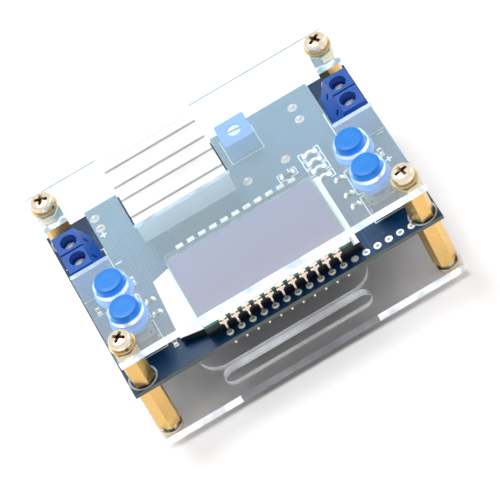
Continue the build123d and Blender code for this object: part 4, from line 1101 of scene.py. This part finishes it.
diodeSize = {"lift": 0.04, "edge": 0.12, "band": (0.5, 0.28), "tab": (0.85, 1.55, 0.24), "pad": (0.05, 0.1, 0.07),
             "riser": (0.94, 0.1)}
low, high = spanOf("power_diode")
edge = diodeSize["edge"]
form = bmesh.new()
block(form, (low[0], low[1], low[2] + diodeSize["lift"]), high, edge=edge)
block(form, (high[0] - diodeSize["band"][0], low[1] + edge, high[2] - 0.02),
      (high[0] - diodeSize["band"][1], high[1] - edge, high[2] + 0.006), slot=1)
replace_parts(formPiece("diodeBody", form, looks["package_black"], silkWhite, soft=False), "power_diode")
low, high = spanOf("diode_tabs")
(near, far, tall), (padX, padW, padH), (riser, half) = diodeSize["tab"], diodeSize["pad"], diodeSize["riser"]
form = bmesh.new()
for side in (-1, 1):
    left, right = sorted(diodeX + side * reach for reach in (near, far))
    block(form, (left, low[1], low[2]), (right, high[1], low[2] + tall), edge=0.05)
    block(form, (left - padX, low[1] - padW, low[2]), (right + padX, high[1] + padW, low[2] + padH), edge=0.02)
    rise = diodeX + side * riser
    block(form, (rise - half, low[1], low[2]), (rise + half, high[1], high[2]), edge=0.04)
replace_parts(formPiece("diodeTabs", form, paleSolder, soft=False), "diode_tabs")
print("diode built")


# rivets in the corners of the switch covers

rivetSize = {"wide": 0.32, "tall": 0.14, "out": 2.2}
form = bmesh.new()
lathe(form, ballProfile(rivetSize["wide"], rivetSize["tall"]), (0, 0), 16)
low, high = levelsOf("switch_covers")
scatter("coverRivets", form, looks["black_plastic"], [
    (x + sx * rivetSize["out"], y + sy * rivetSize["out"], high - 0.01)
    for x, y in keys for sx in (-1, 1) for sy in (-1, 1)])
print("rivets built")


# clamp screws: slotted pan heads on their own turning bodies

clampSize = {"headR": 1.55, "headH": 1.2, "domeR": 0.4, "domeH": 0.3, "slot": 0.3, "slotDeep": 0.7, "slotTurn": 35.0,
             "shankR": 1.1, "rootR": 0.9, "pitch": 0.5, "sides": 20}
poles = [("input_front", -30.8, 5.76), ("input_back", -30.8, 10.84), ("output_front", 30.8, 5.96),
         ("output_back", 30.8, 11.04)]
for pole, x, y in poles:
    low, top = levelsOf(pole + "_screw")
    seat, radius, shoulder = top - clampSize["headH"], clampSize["headR"], top - 0.35
    form = bmesh.new()
    lathe(form, [(0, seat), (radius - 0.1, seat), (radius, seat + 0.1), (radius, shoulder)]
          + [(radius - clampSize["domeR"] * (1 - math.cos(turn)), shoulder + clampSize["domeH"] * math.sin(turn))
             for turn in (0.4, 0.8, 1.2, 1.57)] + [(0, top)], (0, 0), 40)
    cutter = bmesh.new()
    block(cutter, (-2, -clampSize["slot"], top - clampSize["slotDeep"]), (2, clampSize["slot"], top + 1))
    moved(cutter, 0, 0, turn=clampSize["slotTurn"])
    form = carved(form, cutter, looks["clamp_metal"])
    addThread(form, low, seat + 0.05, clampSize)
    moved(form, x, y)
    made = formPiece(pole.replace("_", "") + "ClampScrew", form, looks["clamp_metal"], body=pole + "_clamp_screw")
    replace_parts(made, pole + "_screw")
print("clamp screws built")


# trimmer rotor: turned disc with a slot, a brass eyelet in its middle

rotorSize = {"radius": 1.4, "slot": 0.27, "slotDeep": 0.6, "slotTurn": -8.0, "eyeletR": 0.55, "eyeletTop": 0.42}
low, top = levelsOf("trimmer_rotor")
radius = rotorSize["radius"]
form = bmesh.new()
lathe(form, [(0, low), (radius - 0.06, low), (radius, low + 0.06), (radius, top - 0.12), (radius - 0.1, top - 0.02),
             (radius - 0.2, top), (0, top)], (0, 0), 48)
cutter = bmesh.new()
block(cutter, (-2, -rotorSize["slot"], top - rotorSize["slotDeep"]), (2, rotorSize["slot"], top + 1))
moved(cutter, 0, 0, turn=rotorSize["slotTurn"])
form = carved(form, cutter, looks["rotor_white"], looks["brass"])
foot, crest, eyeletR = top - rotorSize["slotDeep"] - 0.02, top - rotorSize["eyeletTop"], rotorSize["eyeletR"]
lathe(form, [(0, foot), (eyeletR, foot), (eyeletR, crest - 0.08), (eyeletR - 0.13, crest), (0, crest)], (0, 0), 28,
      slot=1)
moved(form, trimX, trimY)
rotor = formPiece("rotorWithEyelet", form, looks["rotor_white"], looks["brass"], body="trimmer_turn")
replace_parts(rotor, "trimmer_rotor")
print("trimmer rotor built")


# camera, fitted to the photograph; its distance is from the board's upper face

cameraView = {"azimuth": -1.571, "elevation": 47.0, "roll": 29.301, "distance": 0.87766,
              "lens": 320.91, "shiftX": 0.018, "shiftY": -0.04578}


def placeCamera(values):
    azimuth, elevation, roll = (math.radians(values[name]) for name in ("azimuth", "elevation", "roll"))
    back = Vector((math.sin(azimuth) * math.cos(elevation), -math.cos(azimuth) * math.cos(elevation),
                   math.sin(elevation)))
    right = Vector((math.cos(azimuth), math.sin(azimuth), 0))
    up = back.cross(right)
    across = right * math.cos(roll) - up * math.sin(roll)
    upward = right * math.sin(roll) + up * math.cos(roll)
    data = bpy.data.cameras.new("photoCamera")
    data.sensor_width = 36.0
    data.lens = values["lens"]
    data.shift_x = values["shiftX"]
    data.shift_y = values["shiftY"]
    data.clip_start = 0.01
    camera = loose("photoCamera", data)
    turn = Matrix((across, upward, back)).transposed().to_4x4()
    camera.matrix_world = Matrix.Translation(Vector((0, 0, boardHigh * mm)) + back * values["distance"]) @ turn
    bpy.context.scene.camera = camera


placeCamera(cameraView)
print("camera placed")


# light, floor and world

studio = {
    "keyPlace": (-0.12, 0.32, 0.85), "keySize": 0.3, "keyPower": 4.2,
    "fillPlace": (0.5, 0.1, 0.35), "fillSize": 0.4, "fillPower": 0.35, "aim": (0, 0, 0.015),
    "worldLevel": 0.36, "floorSize": 3, "floorColour": (0.8, 0.765, 0.755, 1.0), "floorLift": 0.5,
    "shadeX": 0.0345, "shadeY": 0.0258, "toneX": (0.01, 0.027), "tone": (0.64, 1.4),
}


def areaLamp(name, place, size, power):
    data = bpy.data.lights.new(name, "AREA")
    data.shape = "SQUARE"
    data.size = size
    data.energy = power
    lamp = loose(name, data)
    lamp.location = place
    lamp.rotation_euler = (Vector(studio["aim"]) - Vector(place)).to_track_quat("-Z", "Y").to_euler()


areaLamp("keyLamp", studio["keyPlace"], studio["keySize"], studio["keyPower"])
areaLamp("fillLamp", studio["fillPlace"], studio["fillSize"], studio["fillPower"])


def seenMask(tree):
    # 1 for the rays that show a surface, 0 for those that only carry its light
    path = addNode(tree, "ShaderNodeLightPath").outputs
    seen = calc(tree, "MAXIMUM", path["Is Camera Ray"], path["Is Glossy Ray"])
    return calc(tree, "MAXIMUM", seen, path["Is Transmission Ray"])


world = bpy.data.worlds.new("paleStudio")
bpy.context.scene.world = world
world.use_nodes = True
worldTree = world.node_tree
level = studio["worldLevel"]
setInputs(worldTree, worldTree.nodes["Background"], {
    "Color": (1, 1, 1, 1), "Strength": calc(worldTree, "MULTIPLY_ADD", seenMask(worldTree), 1.0 - level, level)})

# the floor has a painted shadow under the lower plate, darker in the middle and lighter towards both ends, and is
# lifted to white around it
size = studio["floorSize"]
floorMesh = bpy.data.meshes.new("studioFloor")
floorMesh.from_pydata([(-size, -size, 0), (size, -size, 0), (size, size, 0), (-size, size, 0)], [], [(0, 1, 2, 3)])
floor = loose("studioFloor", floorMesh)
floorLook, tree, shader = newMaterial("paleFloor", {
    "Roughness": 0.7, "Specular IOR Level": 0.2, "Emission Color": (1, 1, 1, 1)})
spot = addNode(tree, "ShaderNodeSeparateXYZ", {0: objectPlace(tree)}).outputs
awayX, awayY = (calc(tree, "ABSOLUTE", spot[axis]) for axis in ("X", "Y"))
shadeX, shadeY = studio["shadeX"], studio["shadeY"]
shaded = product(tree, ranged(tree, awayX, shadeX, shadeX - 0.001), ranged(tree, awayY, shadeY, shadeY - 0.001))
# painted shadow: the floor's colour scaled from 0.64 in the middle to 1.4 towards both ends
tone = ranged(tree, awayX, *studio["toneX"], *studio["tone"])
under = addNode(tree, "ShaderNodeNewGeometry").outputs["Backfacing"]  # clear when seen from below
setInputs(tree, shader, {
    "Base Color": scaled(tree, studio["floorColour"][:3], blended(tree, shaded, 1.0, tone, "FLOAT")),
    "Emission Strength": product(tree, seenMask(tree), studio["floorLift"], inverse(tree, shaded)),
    "Alpha": inverse(tree, under)})
floorMesh.materials.append(floorLook)
bpy.context.scene.view_settings.view_transform = "Standard"
print("studio built")
